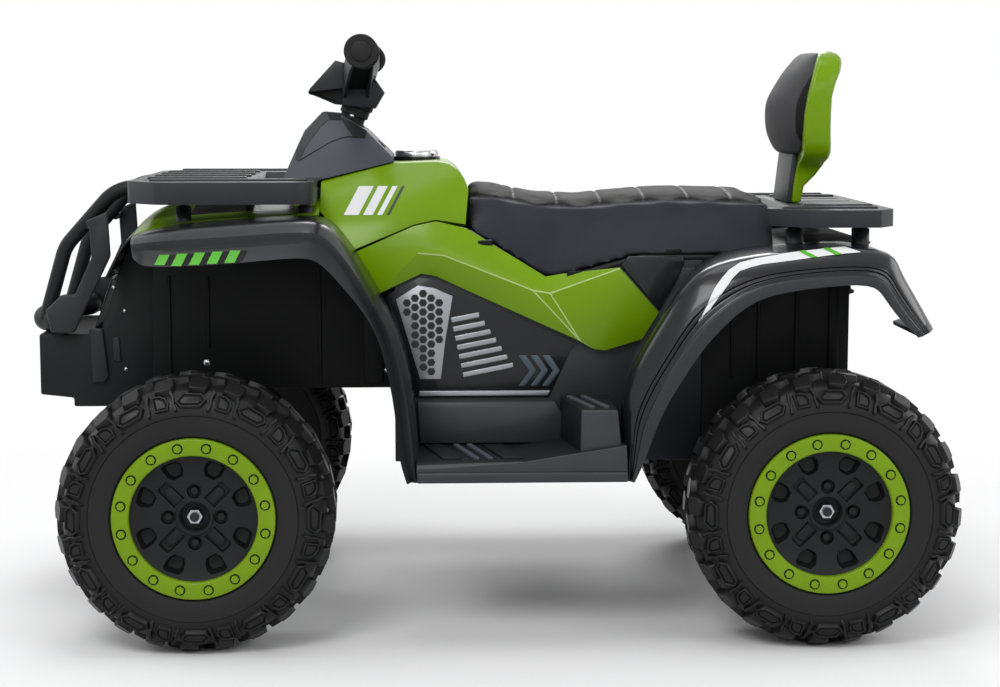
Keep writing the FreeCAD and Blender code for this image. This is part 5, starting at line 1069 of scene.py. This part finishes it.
def foil(name, outlines, plane, target, paint, slot, cuts=5, lift=0.5):
    """Foil shapes from outlines in an upright plane at some y, on both sides of the bike."""
    bm = bmesh.new()
    for outline in outlines:
        flat_face(bm, [(x, plane, z) for x, z in outline])
    bmesh.ops.subdivide_edges(bm, edges=bm.edges, cuts=cuts, use_grid_fill=True)
    laid_on(bm, target, lift)
    put_pair(name + "_left", bm, slot, paint, smooth=60)


def slanted_bar(x, low, width, slant, height):
    return [(x, low), (x + width, low), (x + width + slant, low + height), (x + slant, low + height)]


def runs(pairs):
    """Four-cornered lengths of a band that is given by pairs of low and high points."""
    return [[low, next_low, next_high, high] for (low, high), (next_low, next_high) in zip(pairs, pairs[1:])]


bpy.context.view_layer.update()
BAR_START, BAR_LOW, BAR_PITCH, BAR_RISE, BAR_COUNT = -420, 496, 22.3, 1.3, 5
BAR_WIDTH, BAR_GAP, GAP_WIDTH, BAR_SLANT, BAR_HEIGHT = 13, 0.4, 8.5, 8, 15.5
bar_places = [(BAR_START + BAR_PITCH * number, BAR_LOW + BAR_RISE * number) for number in range(BAR_COUNT)]
for name, shift, width, paint, slot in (("fender_bars", 0, BAR_WIDTH, green_foil, "green_plastic"),
                                        ("fender_gaps", BAR_WIDTH + BAR_GAP, GAP_WIDTH, deep_black,
                                         "black_gloss")):
    bars = [slanted_bar(x + shift, low, width, BAR_SLANT, BAR_HEIGHT) for x, low in bar_places]
    foil(name, bars, -322, front_fender, paint, slot)
STRIPE = [((274.6, 421.4), (274.8, 422)), ((291.4, 441.4), (284.4, 441.4)), ((308.7, 464.8), (294.6, 464.8)),
          ((318, 478), (303.5, 477.5)), ((327, 487), (313, 488.7)), ((341, 491.8), (327, 498)),
          ((356, 495.6), (346, 503)), ((395, 500.5), (394, 511)), ((440, 506.5), (440, 516)),
          ((462, 509), (462, 518)), ((483, 510.6), (482, 511.4))]
foil("fender_stripe", runs(STRIPE), -308, rear_fender, white_foil, "black_gloss", cuts=9, lift=0.7)
SLASH = [(0, 512), (8, 513), (26, 504.4), (18, 503.4)]
SLASHES = [shifted(SLASH, x, rise) for x, rise in ((402, 0), (433, 3.6))]
foil("fender_slashes", SLASHES, -308, rear_fender, green_foil, "green_plastic", cuts=4, lift=1.1)
TANK_BAR_LOW, TANK_BAR_SLANT, TANK_BAR_HEIGHT = 551, 21, 39
for name, places, paint, slot in (
        ("tank_bars", ((-186, 20), (-160, 13), (-141, 7)), white_foil, "green_plastic"),
        ("tank_rule", ((-128, 3.5),), gloss_black, "black_gloss")):
    bars = [slanted_bar(x, TANK_BAR_LOW, width, TANK_BAR_SLANT, TANK_BAR_HEIGHT) for x, width in places]
    foil(name, bars, -150, tank_skin, paint, slot, cuts=3)

# %% [markdown]
# The steering is a bent tube with rubber grips, dressed with a moulded cover over its clamp and two
# channel-shaped arms that hide the bends. The grips are spun about the bar. Each arm runs through five
# rectangular sections and is hollow underneath.

# %% Handlebar dress
BAR_X, BAR_Z = -157, 767
GRIP_RIBS = [(15.6 if number % 2 else 14.4, -284 + 4.6 * number) for number in range(20)]
GRIP = [(0.01, -300.5), (9, -300.5), (12.6, -299.4), (13.4, -297.5), (13.4, -296.5), (20.4, -296.5),
        (21.7, -295), (21.7, -292), (20.4, -290.6), (15, -290.6), (15, -288.6), (18.4, -288.2), (19, -286.6),
        (18.2, -285)]
GRIP += GRIP_RIBS + [(15.6, -191), (20.6, -190), (21.7, -188.4), (21.7, -185), (20.4, -183.4), (9.6, -182.4)]
put_pair("grip_left_skin", move(spun(GRIP, 40), at(BAR_X, 0, BAR_Z)), "grip_rubber", grip_rubber,
         ["grip_left"], smooth=40, body="steering")

COVER_SIDE = [(-236, 721), (-200, 760), (-154, 747), (-132, 715), (-145, 693), (-201, 699), (-239, 715)]
COVER_SPLIT, COVER_LIP = Vector((-190, 0, 720)), Vector((-239, 0, 716))
COVER_HALF, LIP_SLOPE = 30, 0.12
cover = side_block(COVER_SIDE, -COVER_HALF, 2 * COVER_HALF)
for place, normal in ((COVER_SPLIT, (1, 0, 0)), (COVER_LIP, (-LIP_SLOPE, 0, 0.99))):
    bmesh.ops.bisect_plane(cover, geom=everything(cover), dist=1e-6, plane_co=place * MM, plane_no=normal)
for cheek in [f for f in cover.faces if abs(f.normal.y) > 0.9]:
    middle = cheek.calc_center_median() / MM
    ahead, above = middle.x < COVER_SPLIT.x, middle.z > COVER_LIP.z + LIP_SLOPE * (middle.x - COVER_LIP.x)
    if ahead and above:
        cheek.material_index = 2
    elif ahead or above:
        # A recessed cheek gets the darkest black, a painted shade inside the cover's cavity.
        margin, depth = (2.4, -9) if ahead else (5, -2.4)
        bmesh.ops.inset_individual(cover, faces=[cheek], thickness=margin * MM, depth=depth * MM,
                                   use_even_offset=True)
        cheek.material_index = 1
round_edges(cover, 1.4, angle=25)
put("bar_cover_skin", cover, "black_plastic", [satin_black, deep_black, rack_black], ["bar_cover"], 50,
    "steering")

ARM_SECTIONS = [(-172, -24, 727, 18, 22), (-167, -70, 743, 18, 20), (-161, -125, 760, 16.5, 17),
                (-157, -160, 766, 15, 15), (-157, -182, 767, 14.5, 14.5)]
ARM_WALL, ARM_HOLLOW, HOLLOW_END_Y = 4, (0, 6, 10), -170


def channel_arm():
    """A channel over the bar's bend, from the cover out to the grip."""
    rings = []
    for x, y, z, reach, rise in ARM_SECTIONS:
        ring = rectangle(-reach, reach, -rise, rise)
        rings.append([(x + dx, y, z + dz) for dx, dz in ring + ring[:1]])
    bm = closed_loft(rings)
    under = [f for f in bm.faces if f.normal.z < -0.5 and f.calc_center_median().y > HOLLOW_END_Y * MM]
    bmesh.ops.inset_region(bm, faces=under, thickness=ARM_WALL * MM, depth=0, use_even_offset=True)
    hollow = bmesh.ops.extrude_face_region(bm, geom=under)["geom"]
    bmesh.ops.translate(bm, vec=Vector(ARM_HOLLOW) * MM, verts=only(hollow, BMVert))
    bmesh.ops.delete(bm, geom=under, context="FACES")
    # The hollow's faces are painted darkest black, a painted shade under the arm.
    for face in only(hollow, BMFace):
        face.material_index = 1
    bmesh.ops.recalc_face_normals(bm, faces=bm.faces)
    round_edges(bm, 1.6, angle=35)
    return bm


put_pair("bar_arm_left", channel_arm(), "black_plastic", [satin_black, deep_black], smooth=50,
         body="steering")

# %% [markdown]
# The nose under the front rack is a green cover with a crown from side to side. Rows of points run across
# it. Their height falls from the middle to the fender's edge by a power of the distance, which gives a flat
# middle and a round shoulder.

# %% Nose cover
NOSE_LINES = [(-502, 470, -502, 470), (-478, 519, -478, 522), (-462, 527, -466, 543), (-445, 534, -445, 558),
              (-400, 543, -400, 567), (-307, 549, -300, 570), (-252, 553, -252, 571.5),
              (-218, 555, -218, 572)]
NOSE_SHARES, NOSE_HALF, NOSE_POWER = (-1, -0.8, -0.55, -0.25, 0, 0.25, 0.55, 0.8, 1), 190, 2.2


def nose_row(edge_x, edge_z, middle_x, middle_z):
    rises = [1 - abs(share) ** NOSE_POWER for share in NOSE_SHARES]
    return [(edge_x + (middle_x - edge_x) * rise, NOSE_HALF * share, edge_z + (middle_z - edge_z) * rise)
            for share, rise in zip(NOSE_SHARES, rises)]


nose_bm = loft([nose_row(*line) for line in NOSE_LINES])
face_towards(nose_bm, (0, 0, 1))
paint_rows(nose_bm, 0, 8, 1, stations=range(0, 2))
# The stretch under the front rack, between stations 4 and 6, is painted gloss black, a painted shadow of the
# rack.
paint_rows(nose_bm, 1, 7, 1, stations=range(4, 6))
skinned(put("nose_cover", nose_bm, "green_plastic", [green_paint, gloss_black], ["front_hood"], smooth=60))

# %% [markdown]
# Both racks are trays with a skirt, slots through the deck and raised rails that a load would rest on. The
# packed tray keeps its place. Its upright corners and round posts get large radii, and the rails are
# narrow blocks set into the deck.

# %% Racks
RACK_RAILS = {
    "front_rack": (599, [(38, -452, -318), (114, -452, -318), (190, -440, -232)],
                   [(-398, 540, 573, 10), (-236, 550, 573, 10)]),
    "rear_rack": (561, [(132, 440, 536), (190, 402, 530)], [(422, 508, 541, 12), (512, 508, 541, 12)]),
}
RAIL_HALF, RAIL_SUNK, RAIL_HEIGHT = 8, 2, 5
POST_Y, POST_NECK, NECK_DROP, POST_SUNK = 172, 2.5, 8, 4
CORNER_CUT, CORNER_NORMAL = Vector((525, 238, 540)), Vector((34, 24, 0)).normalized()
EDGE_RISE, LEVEL_RISE, SKIRT_HEIGHT = 18, 1, 30
RACK_CORNER_Y, POST_INNER_Y, POST_OUTER_Y = 185, 160, 184
STAND_UP = Matrix.Rotation(math.pi / 2, 4, "X")
for node, (deck, rails, posts) in RACK_RAILS.items():
    rack = solid_copy(node)
    if node == "rear_rack":
        for mirror in BOTH_SIDES:
            slice_off(rack, CORNER_CUT * mirror, CORNER_NORMAL * mirror)
    round_edges(rack, 10, segments=5, angle=20,
                where=lambda a, b: abs(a.z - b.z) > EDGE_RISE and abs(a.y) > RACK_CORNER_Y)
    round_edges(rack, 5.5, segments=4, angle=20,
                where=lambda a, b: abs(a.z - b.z) > EDGE_RISE and POST_INNER_Y < abs(a.y) < POST_OUTER_Y)
    round_edges(rack, 5, segments=4, angle=40,
                where=lambda a, b: abs(a.z - b.z) < LEVEL_RISE and min(a.z, b.z) > deck - SKIRT_HEIGHT)
    round_edges(rack, 1.6, angle=40)
    for x, low, high, radius in posts:
        neck, shoulder = radius - POST_NECK, high - NECK_DROP
        for side in (1, -1):
            post = spun([(radius, low), (radius, shoulder), (neck, shoulder), (neck, high + POST_SUNK)], 24)
            join(rack, move(post, at(x, POST_Y * side, 0) @ STAND_UP))
    for y, front, rear in rails:
        for side in (1, -1):
            rail = slab(front, rear, side * y - RAIL_HALF, side * y + RAIL_HALF, deck - RAIL_SUNK,
                        RAIL_HEIGHT)
            round_edges(rail, 2, segments=3)
            join(rack, rail)
    put(node + "_skin", rack, SLOT_OF[node], rack_black, [node], smooth=45)

# %% [markdown]
# Below the green wing sits a dark inset panel with a plain technical relief: a honeycomb, a stack of
# cooling fins and a row of arrow vents. All of them are shallow prisms on a backing plate. A ledge panel
# closes the side below it, and a glossy quarter panel fills the corner in front of the rear fender.

# %% Side relief
SIDE_Y = -181.6


def plate(points, low, high, width=0.6, segments=2):
    """A plate on the bike's left side between two depths out from the side cover."""
    bm = side_block(points, SIDE_Y - low, low - high)
    round_edges(bm, width, segments=segments, angle=20)
    return bm


BACKING = [(-128, 446), (-84, 470), (-62, 466), (128, 380), (118, 368), (90, 306), (-90, 306)]
MESH_PLATE = [(-116, 440), (-86, 459), (-64, 455), (-40, 444), (-50, 384), (-56, 332), (-84, 332)]
CELL_STEP, CELL_RADIUS, COLUMN_SHARE, FIRST_CELL = 12.4, 5.7, 0.87, (-112, 330)
FIN_SLOPE, FIN_LEAN, FIN_THICK = 0.2, 1.4, 7
FIN_START, FIN_STEP, FIN_COUNT = (-26, 334, 68), (-2.6, 12.4, -5), 7
VENT = [(0, 0), (10, 0), (25, 21), (10, 42), (0, 42), (15, 21)]
VENT_PLACES = [(48, 322), (64, 322), (80, 322)]
HIGHLIGHT_RULE = [(-86, 309), (88, 309), (92, 316), (-85, 316)]


def inside(points, x, z, margin):
    """True where a place lies inside an outline by more than a margin."""
    gaps = []
    for (x0, z0), (x1, z1) in zip(points, points[1:] + points[:1]):
        gaps.append(((x - x0) * (z1 - z0) - (z - z0) * (x1 - x0)) / math.hypot(x1 - x0, z1 - z0))
    return min(gaps) > margin or max(gaps) < -margin


relief = plate(BACKING, 0, 1.6, 0.4)
join(relief, painted(plate(MESH_PLATE, 1, 3), 1))
for column in range(8):
    for row in range(12):
        x = FIRST_CELL[0] + column * CELL_STEP * COLUMN_SHARE
        z = FIRST_CELL[1] + row * CELL_STEP + (CELL_STEP / 2 if column % 2 else 0)
        if inside(MESH_PLATE, x, z, CELL_RADIUS + 1):
            join(relief, plate(polygon(6, x, z, CELL_RADIUS), 2.6, 3.5, 0.4, 1))
for number in range(FIN_COUNT):
    x, z, long = (start + step * number for start, step in zip(FIN_START, FIN_STEP))
    fin = [(x, z), (x + long, z + FIN_SLOPE * long), (x + long - FIN_LEAN, z + FIN_SLOPE * long + FIN_THICK),
           (x - FIN_LEAN, z + FIN_THICK)]
    join(relief, painted(plate(fin, 1, 6, 1.4), 1))
for x, z in VENT_PLACES:
    join(relief, painted(plate(shifted(VENT, x, z), 1, 3.6, 0.9), 2))
# The strip along the bottom is painted silver, a painted highlight along the panel's lower edge.
join(relief, painted(plate(HIGHLIGHT_RULE, 1, 4, 1.2), 1))
put_pair("side_relief_left", relief, "print_panel", [gloss_black, silver_print, blue_print])

LEDGE, LEDGE_DEPTH = [(-88, 304), (96, 304), (110, 280), (110, 246), (-84, 246)], 11
ledge = side_block(LEDGE, SIDE_Y, -LEDGE_DEPTH)
round_edges(ledge, 10, where=lambda a, b: min(a.z, b.z) > 300 and max(a.y, b.y) < -190)
round_edges(ledge, 1.5)
put_pair("side_ledge_left", ledge, "black_plastic", step_grey, smooth=50)
CLIP, CLIP_PLACES = [(0, 0), (22, 1), (21, 8), (2, 7)], [(-8, 512), (112, 470), (246, 500)]
clips = bmesh.new()
for x, z in CLIP_PLACES:
    join(clips, plate(shifted(CLIP, x, z), 2, 9, 1))
put_pair("seat_clips_left", clips, "black_plastic", deep_black)
QUARTER = [(186, 484), (239, 423), (246, 436), (262, 464), (272, 488), (270, 497), (196, 497)]
put_pair("quarter_panel_left", plate(QUARTER, 0, 4, 1.8, 3), "black_gloss", gloss_black, smooth=50)

# %% [markdown]
# A footboard is a sill with a flat floor, a ramp and a box-shaped step. The outer edge has a generous
# radius, because a child's shin meets it. Rows of small teeth on the step and the floor give grip. The
# right floor is left bare for the throttle pedal, whose hinge sits between two ears.

# %% Footboards
FLOOR_Z, STEP_Z, BOARD_Y = 243, 309, -182.4
BOARD_SIDE = [(-84.4, 217), (179, 217), (177, 264), (48, FLOOR_Z), (-84.4, FLOOR_Z)]
SILL_SIDE = [(-84.4, 216), (179.4, 216), (178.8, 230), (-84.4, 230)]
STEP_SIDE = [(113, 250), (114, STEP_Z), (171, STEP_Z), (176, 258), (176, 250)]
EAR_SIDE = [(-8, 241), (8, 241), (8, 253), (4, 260), (-4, 260), (-8, 253)]
GRIP_SKEW, STEP_SKEW, BOARD_MIDDLE, BOARD_REACH = 0.24, 0.14, -250, 5
TOOTH_PITCH, TOOTH_THICK, TOOTH_LONG, TOOTH_HEIGHT, SUNK = 10, 5, 8, 4, 1
BOARD_WIDE, SILL_WIDE, STEP_Y, STEP_WIDE, EAR_WIDE, PAD_HEIGHT = 140, 143.4, -184, 132, 6, 3
EAR_PLACES, FLOOR_PADS = (213.7, 276.3), ((-68, -42), (10, 38))
STEP_TEETH, FLOOR_TEETH = (121, 140), (-29, -11)


def skew(bm, amount, up_to=math.inf):
    """Slide what lies nearer the outside backwards, in proportion to its distance from the middle."""
    for vert in bm.verts:
        if vert.co.x < up_to * MM:
            vert.co.x -= amount * (vert.co.y - BOARD_MIDDLE * MM)


def tooth_row(bm, x, low_y, high_y, z):
    """A row of teeth across the board."""
    for y in range(low_y, high_y - TOOTH_PITCH + 1, TOOTH_PITCH):
        tooth = slab(x, x + TOOTH_LONG, y, y + TOOTH_THICK, z - SUNK, TOOTH_HEIGHT + SUNK)
        round_edges(tooth, 1.2)
        join(bm, tooth)


def footboard(floor_grip):
    """The left board, with or without the grip on its floor."""
    board = side_block(BOARD_SIDE, BOARD_Y, -BOARD_WIDE)
    round_edges(board, 9, segments=5, angle=20,
                where=lambda a, b: max(a.y, b.y) < -320 and min(a.z, b.z) > 225 and max(a.x, b.x) < 60)
    sill = side_block(SILL_SIDE, BOARD_Y, -SILL_WIDE)
    step = side_block(STEP_SIDE, STEP_Y, -STEP_WIDE)
    skew(step, STEP_SKEW, up_to=130)
    for block in (board, sill):
        for vert in block.verts:
            if vert.co.y < -300 * MM and not -80 * MM <= vert.co.x <= 170 * MM:
                vert.co.x += math.copysign(BOARD_REACH * MM, vert.co.x)
    for block, width in ((board, 1.5), (sill, 3), (step, 3)):
        round_edges(block, width, segments=3)
    join(board, sill)
    join(board, step)
    board.normal_update()
    painted(board, 1, lambda middle, normal: normal.y >= -0.5)
    grips = bmesh.new()
    for x in STEP_TEETH:
        tooth_row(grips, x, -304, -196, STEP_Z)
    if floor_grip:
        for x in FLOOR_TEETH:
            tooth_row(grips, x, -306, -196, FLOOR_Z)
    # The teeth are painted the lighter cowl grey, a painted highlight on their tops and edges.
    painted(grips, 2)
    if floor_grip:
        for front, rear in FLOOR_PADS:
            pad = slab(front, rear, -300, -200, FLOOR_Z - SUNK, PAD_HEIGHT + SUNK)
            round_edges(pad, 1.4)
            join(grips, painted(pad, 1))
    skew(grips, GRIP_SKEW)
    join(board, grips)
    return board


right_board = move(footboard(False), MIRROR_Y)
for low_y in EAR_PLACES:
    ear = side_block(EAR_SIDE, low_y, EAR_WIDE)
    round_edges(ear, 0.8)
    join(right_board, ear)
for side, board in (("left", footboard(True)), ("right", right_board)):
    put(f"footboard_{side}_skin", board, "black_plastic", [step_grey, grained_black, cowl_grey],
        ["footboard_" + side], smooth=45)

# %% [markdown]
# The last mouldings are small: a boot round the steering column, the tank's filler ring, the parting line
# and dark strips of the cowl, two switches, uprights beside the nose, ribs inside the wheel arches, and
# screws.

# %% Small mouldings
COLUMN_TOP, COLUMN_WAY = Vector((-153.9, 0, 742.3)), Vector((0.354, 0, 0.935)).normalized()
COLUMN_TURN = Vector((0, 1, 0)).rotation_difference(COLUMN_WAY).to_matrix().to_4x4()
COLUMN = Matrix.Translation(COLUMN_TOP * MM) @ COLUMN_TURN
BOOT = [(11.2, -86), (20, -86), (20, -72), (17.5, -70), (17.5, -64), (20.5, -62), (20.5, -52), (23, -50),
        (23, -40), (11.2, -40)]
COLLAR = [(24, -101), (31, -101), (29, -78), (24, -76)]
FILLER = [(33, -4), (33, 3.4), (30.5, 4), (31, 9), (29, 12), (25, 12.6), (23, 11.4), (22.4, 6.6), (8, 6.6),
          (8, 8), (0.01, 8)]
FILLER_PLACE, CHROME_INNER, CHROME_OUTER, CHROME_LOW = (-87, 0, 622.3), 22.6, 31.2, 3
put("column_boot", move(spun(BOOT, 40, closed=True), COLUMN), "black_plastic", grained_black, smooth=45,
    body="steering")

filler = painted(spun(FILLER, 56), 1)
painted(filler, 0, lambda middle, normal: middle.y > CHROME_LOW
        and CHROME_INNER < math.hypot(middle.x, middle.z) < CHROME_OUTER)
lid = side_block(rectangle(-18, 18, -5, 5), 6, 4.6)
round_edges(lid, 1)
join(filler, painted(lid, 1))
move(filler, at(*FILLER_PLACE) @ STAND_UP)
put("filler_ring", filler, "chrome", [chrome, gloss_black], ["fuel_cap"], smooth=40)

collar = move(spun(COLLAR, 40, closed=True), COLUMN)
round_edges(collar, 1.5, angle=40)
put("cowl_collar", collar, "black_plastic", grained_black, smooth=45)

PARTING = [(-250, 620.5), (-228.4, 633.8), (-206.6, 646.2), (-191.5, 652), (-181.5, 654), (-168, 653)]
PARTING_WIDTH = 1.6
VISOR = [((-255, 623), (-249.7, 621)), ((-253.4, 638), (-242, 638)), ((-244, 655), (-231, 654)),
         ((-232, 672), (-220, 668)), ((-222, 682), (-213, 675)), ((-214, 689), (-207, 679))]
SKIRT = [[(-194, 682), (-175, 672.5), (-176, 654), (-185, 667)],
         [(-175, 672.5), (-157, 662), (-159, 651.5), (-176, 654)]]
CAP = [[(-213, 688), (-193, 685), (-192, 677), (-207, 677.4)]]
parting_runs = runs([((x, z), (x, z + PARTING_WIDTH)) for x, z in PARTING])
foil("cowl_parting", parting_runs, -75, cowl_skin, deep_black, "black_plastic", cuts=6, lift=0.3)
foil("cowl_strip", runs(VISOR), -60, cowl_skin, satin_black, "black_gloss", lift=0.6)
foil("cowl_skirt", SKIRT, -40, cowl_skin, grained_black, "black_plastic", lift=0.8)
foil("cowl_cap", CAP, -40, cowl_skin, deep_black, "black_gloss", lift=0.6)

PANEL_POINT, PANEL_OUT, KEPT_RISE = Vector((-137, 0, 644)), Vector((0.707, 0, 0.707)), 0.25
for node in ("power_button", "direction_rocker"):
    switch = solid_copy(node)
    for vert in switch.verts:
        rise = (vert.co / MM - PANEL_POINT).dot(PANEL_OUT)
        vert.co -= PANEL_OUT * max(0, rise) * (1 - KEPT_RISE) * MM
    round_edges(switch, 0.6)
    put(node + "_skin", switch, SLOT_OF[node], FINISHES[SLOT_OF[node]], [node], body=node)

NOSE_SIDE_Y = -121
UPRIGHT = [(-534, 396), (-516, 396), (-509, 330), (-514, 322), (-531, 322)]
NOSE_BRACKET = [(-504, 384), (-494, 384), (-492, 348), (-503, 352)]
uprights = bmesh.new()
for points, depth in ((UPRIGHT, 8), (NOSE_BRACKET, 4)):
    block = side_block(points, NOSE_SIDE_Y, -depth)
    round_edges(block, 2.4, segments=3, angle=20)
    join(uprights, block)
put_pair("nose_uprights_left", uprights, "black_plastic", satin_black, smooth=50)

REAR_RIBS = [(336, 330, 440, 5), (372, 330, 470, 5), (424, 330, 474, 5), (470, 330, 470, 14)]
FRONT_RIBS = [(-424, 322, 470, 4), (-372, 372, 470, 4), (-222, 322, 480, 5), (-160, 322, 450, 26)]
RIB_DEPTH = 3.5
arch_ribs = bmesh.new()
for y, places in ((-175, REAR_RIBS), (-149, FRONT_RIBS)):
    for x, low, high, wide in places:
        rib = side_block(rectangle(x, x + wide, low, high), y, -RIB_DEPTH)
        round_edges(rib, 1.4)
        join(arch_ribs, rib)
put_pair("arch_ribs_left", arch_ribs, "black_plastic", deep_black, smooth=50)


def screw_heads(places):
    """Domed screw heads that face the bike's left side."""
    bm = bmesh.new()
    for x, y, z, radius in places:
        dome = [(0.01, -2.6), (radius * 0.6, -2.3), (radius * 0.9, -1.2), (radius, 0), (radius, 2), (0.01, 2)]
        join(bm, move(spun(dome, 16), at(x, y, z)))
    return bm


SCREWS = [(-373, -150, 352, 5), (-130, -150, 340, 3.5), (-486, -122, 340, 3), (-486, -122, 420, 3),
          (-500, -122, 452, 3)]
put_pair("screws_left", screw_heads(SCREWS), "steel", zinc, smooth=50)
put("column_screw", screw_heads([(-178, -21.5, 683, 3.4)]), "steel", zinc, smooth=50, body="steering")

# %% [markdown]
# Each headlight is a black tub with a bright reflector and two round lamps. It is modelled flat and then laid
# on the sloping front. A grille below, a louvred panel at the back and a bezel round the tail light are plain
# raised blocks.

# %% Lamps and end panels
LIGHT_PLACE = (-516, -72, 428)
LIGHT_UP, LIGHT_OUT = Vector((0.333, 0, 0.943)), Vector((-0.943, 0, 0.333))
light = slab(-32, 32, -38, 38, -9, 11)
round_edges(light, 7, segments=4, where=lambda a, b: abs(a.z - b.z) > 5)
mouth = max(light.faces, key=lambda f: f.calc_center_median().z)
bowl = sink(light, mouth, 4, (0, 0, -8))
for face in [bowl] + [f for e in bowl.edges for f in e.link_faces]:
    face.material_index = 1
round_edges(light, 0.8, angle=40)
for up, radius in ((-12, 20), (20, 10)):
    bulb = spun([(0.01, 0.5), (radius * 0.5, 0), (radius * 0.8, -2), (radius * 0.84, -4), (radius * 0.9, 0.5),
                 (radius, -0.5), (radius, -7)], 32)
    painted(bulb, 2, lambda middle, normal: math.hypot(middle.x, middle.z) < radius * 0.83)
    join(light, move(bulb, at(0, up, 0) @ STAND_UP))
light_turn = Matrix((Vector((0, -1, 0)), LIGHT_UP, LIGHT_OUT)).transposed().to_4x4()
move(light, at(*LIGHT_PLACE) @ light_turn)
join(light, move(light.copy(), MIRROR_Y))
put("headlight_units", light, "clear_lens", [gloss_black, chrome, clear_lens], ["headlights"], smooth=40)


def bar(x, depth, half, low, high, width=1.5):
    """A raised bar across the front or the back of the bike."""
    bm = prism([(x, y, z) for y, z in rectangle(-half, half, low, high)], (depth, 0, 0))
    round_edges(bm, width)
    return bm


grille = painted(bar(-602, -2, 102, 314, 381), 1)
for low in (320, 335, 350, 365):
    join(grille, bar(-603, -4, 96, low, low + 8, 2))
put("nose_grille", grille, "black_plastic", [satin_black, deep_black], smooth=50)

tail_panel = bar(497, 5, 148, 236, 402, 2)
for low in (262, 282, 302, 322, 342):
    join(tail_panel, painted(bar(501, 4.5, 104, low, low + 11, 2), 1))
bezel = bar(497, 12, 96, 413, 461, 2)
sink(bezel, max(bezel.faces, key=lambda f: f.calc_center_median().x), 7.6, (-9, 0, 0))
join(tail_panel, painted(bezel, 2))
for y in (-29, 27):
    lens_rib = prism([(505, across, z) for across, z in rectangle(y, y + 2, 423, 451)], (2.6, 0, 0))
    join(tail_panel, painted(lens_rib, 2))
put("tail_panel", tail_panel, "black_plastic", [satin_black, rack_black, gloss_black], smooth=50)

# %% [markdown]
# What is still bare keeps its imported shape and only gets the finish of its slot, so that no surface is left
# in one flat colour.

# %% Bare solids get their slot's finish
PAINTED_STEEL = ("front_axle_beam", "knuckle_left", "knuckle_right", "tie_rod", "steering_column",
                 "handlebar", "rear_axle")
for node, thing in frame["nodes"].items():
    finish = black_steel if node in PAINTED_STEEL else FINISHES.get(SLOT_OF[node])
    if finish and not thing.hide_render:
        thing.data.materials.clear()
        thing.data.materials.append(finish)
print("finishes set on the packed solids")
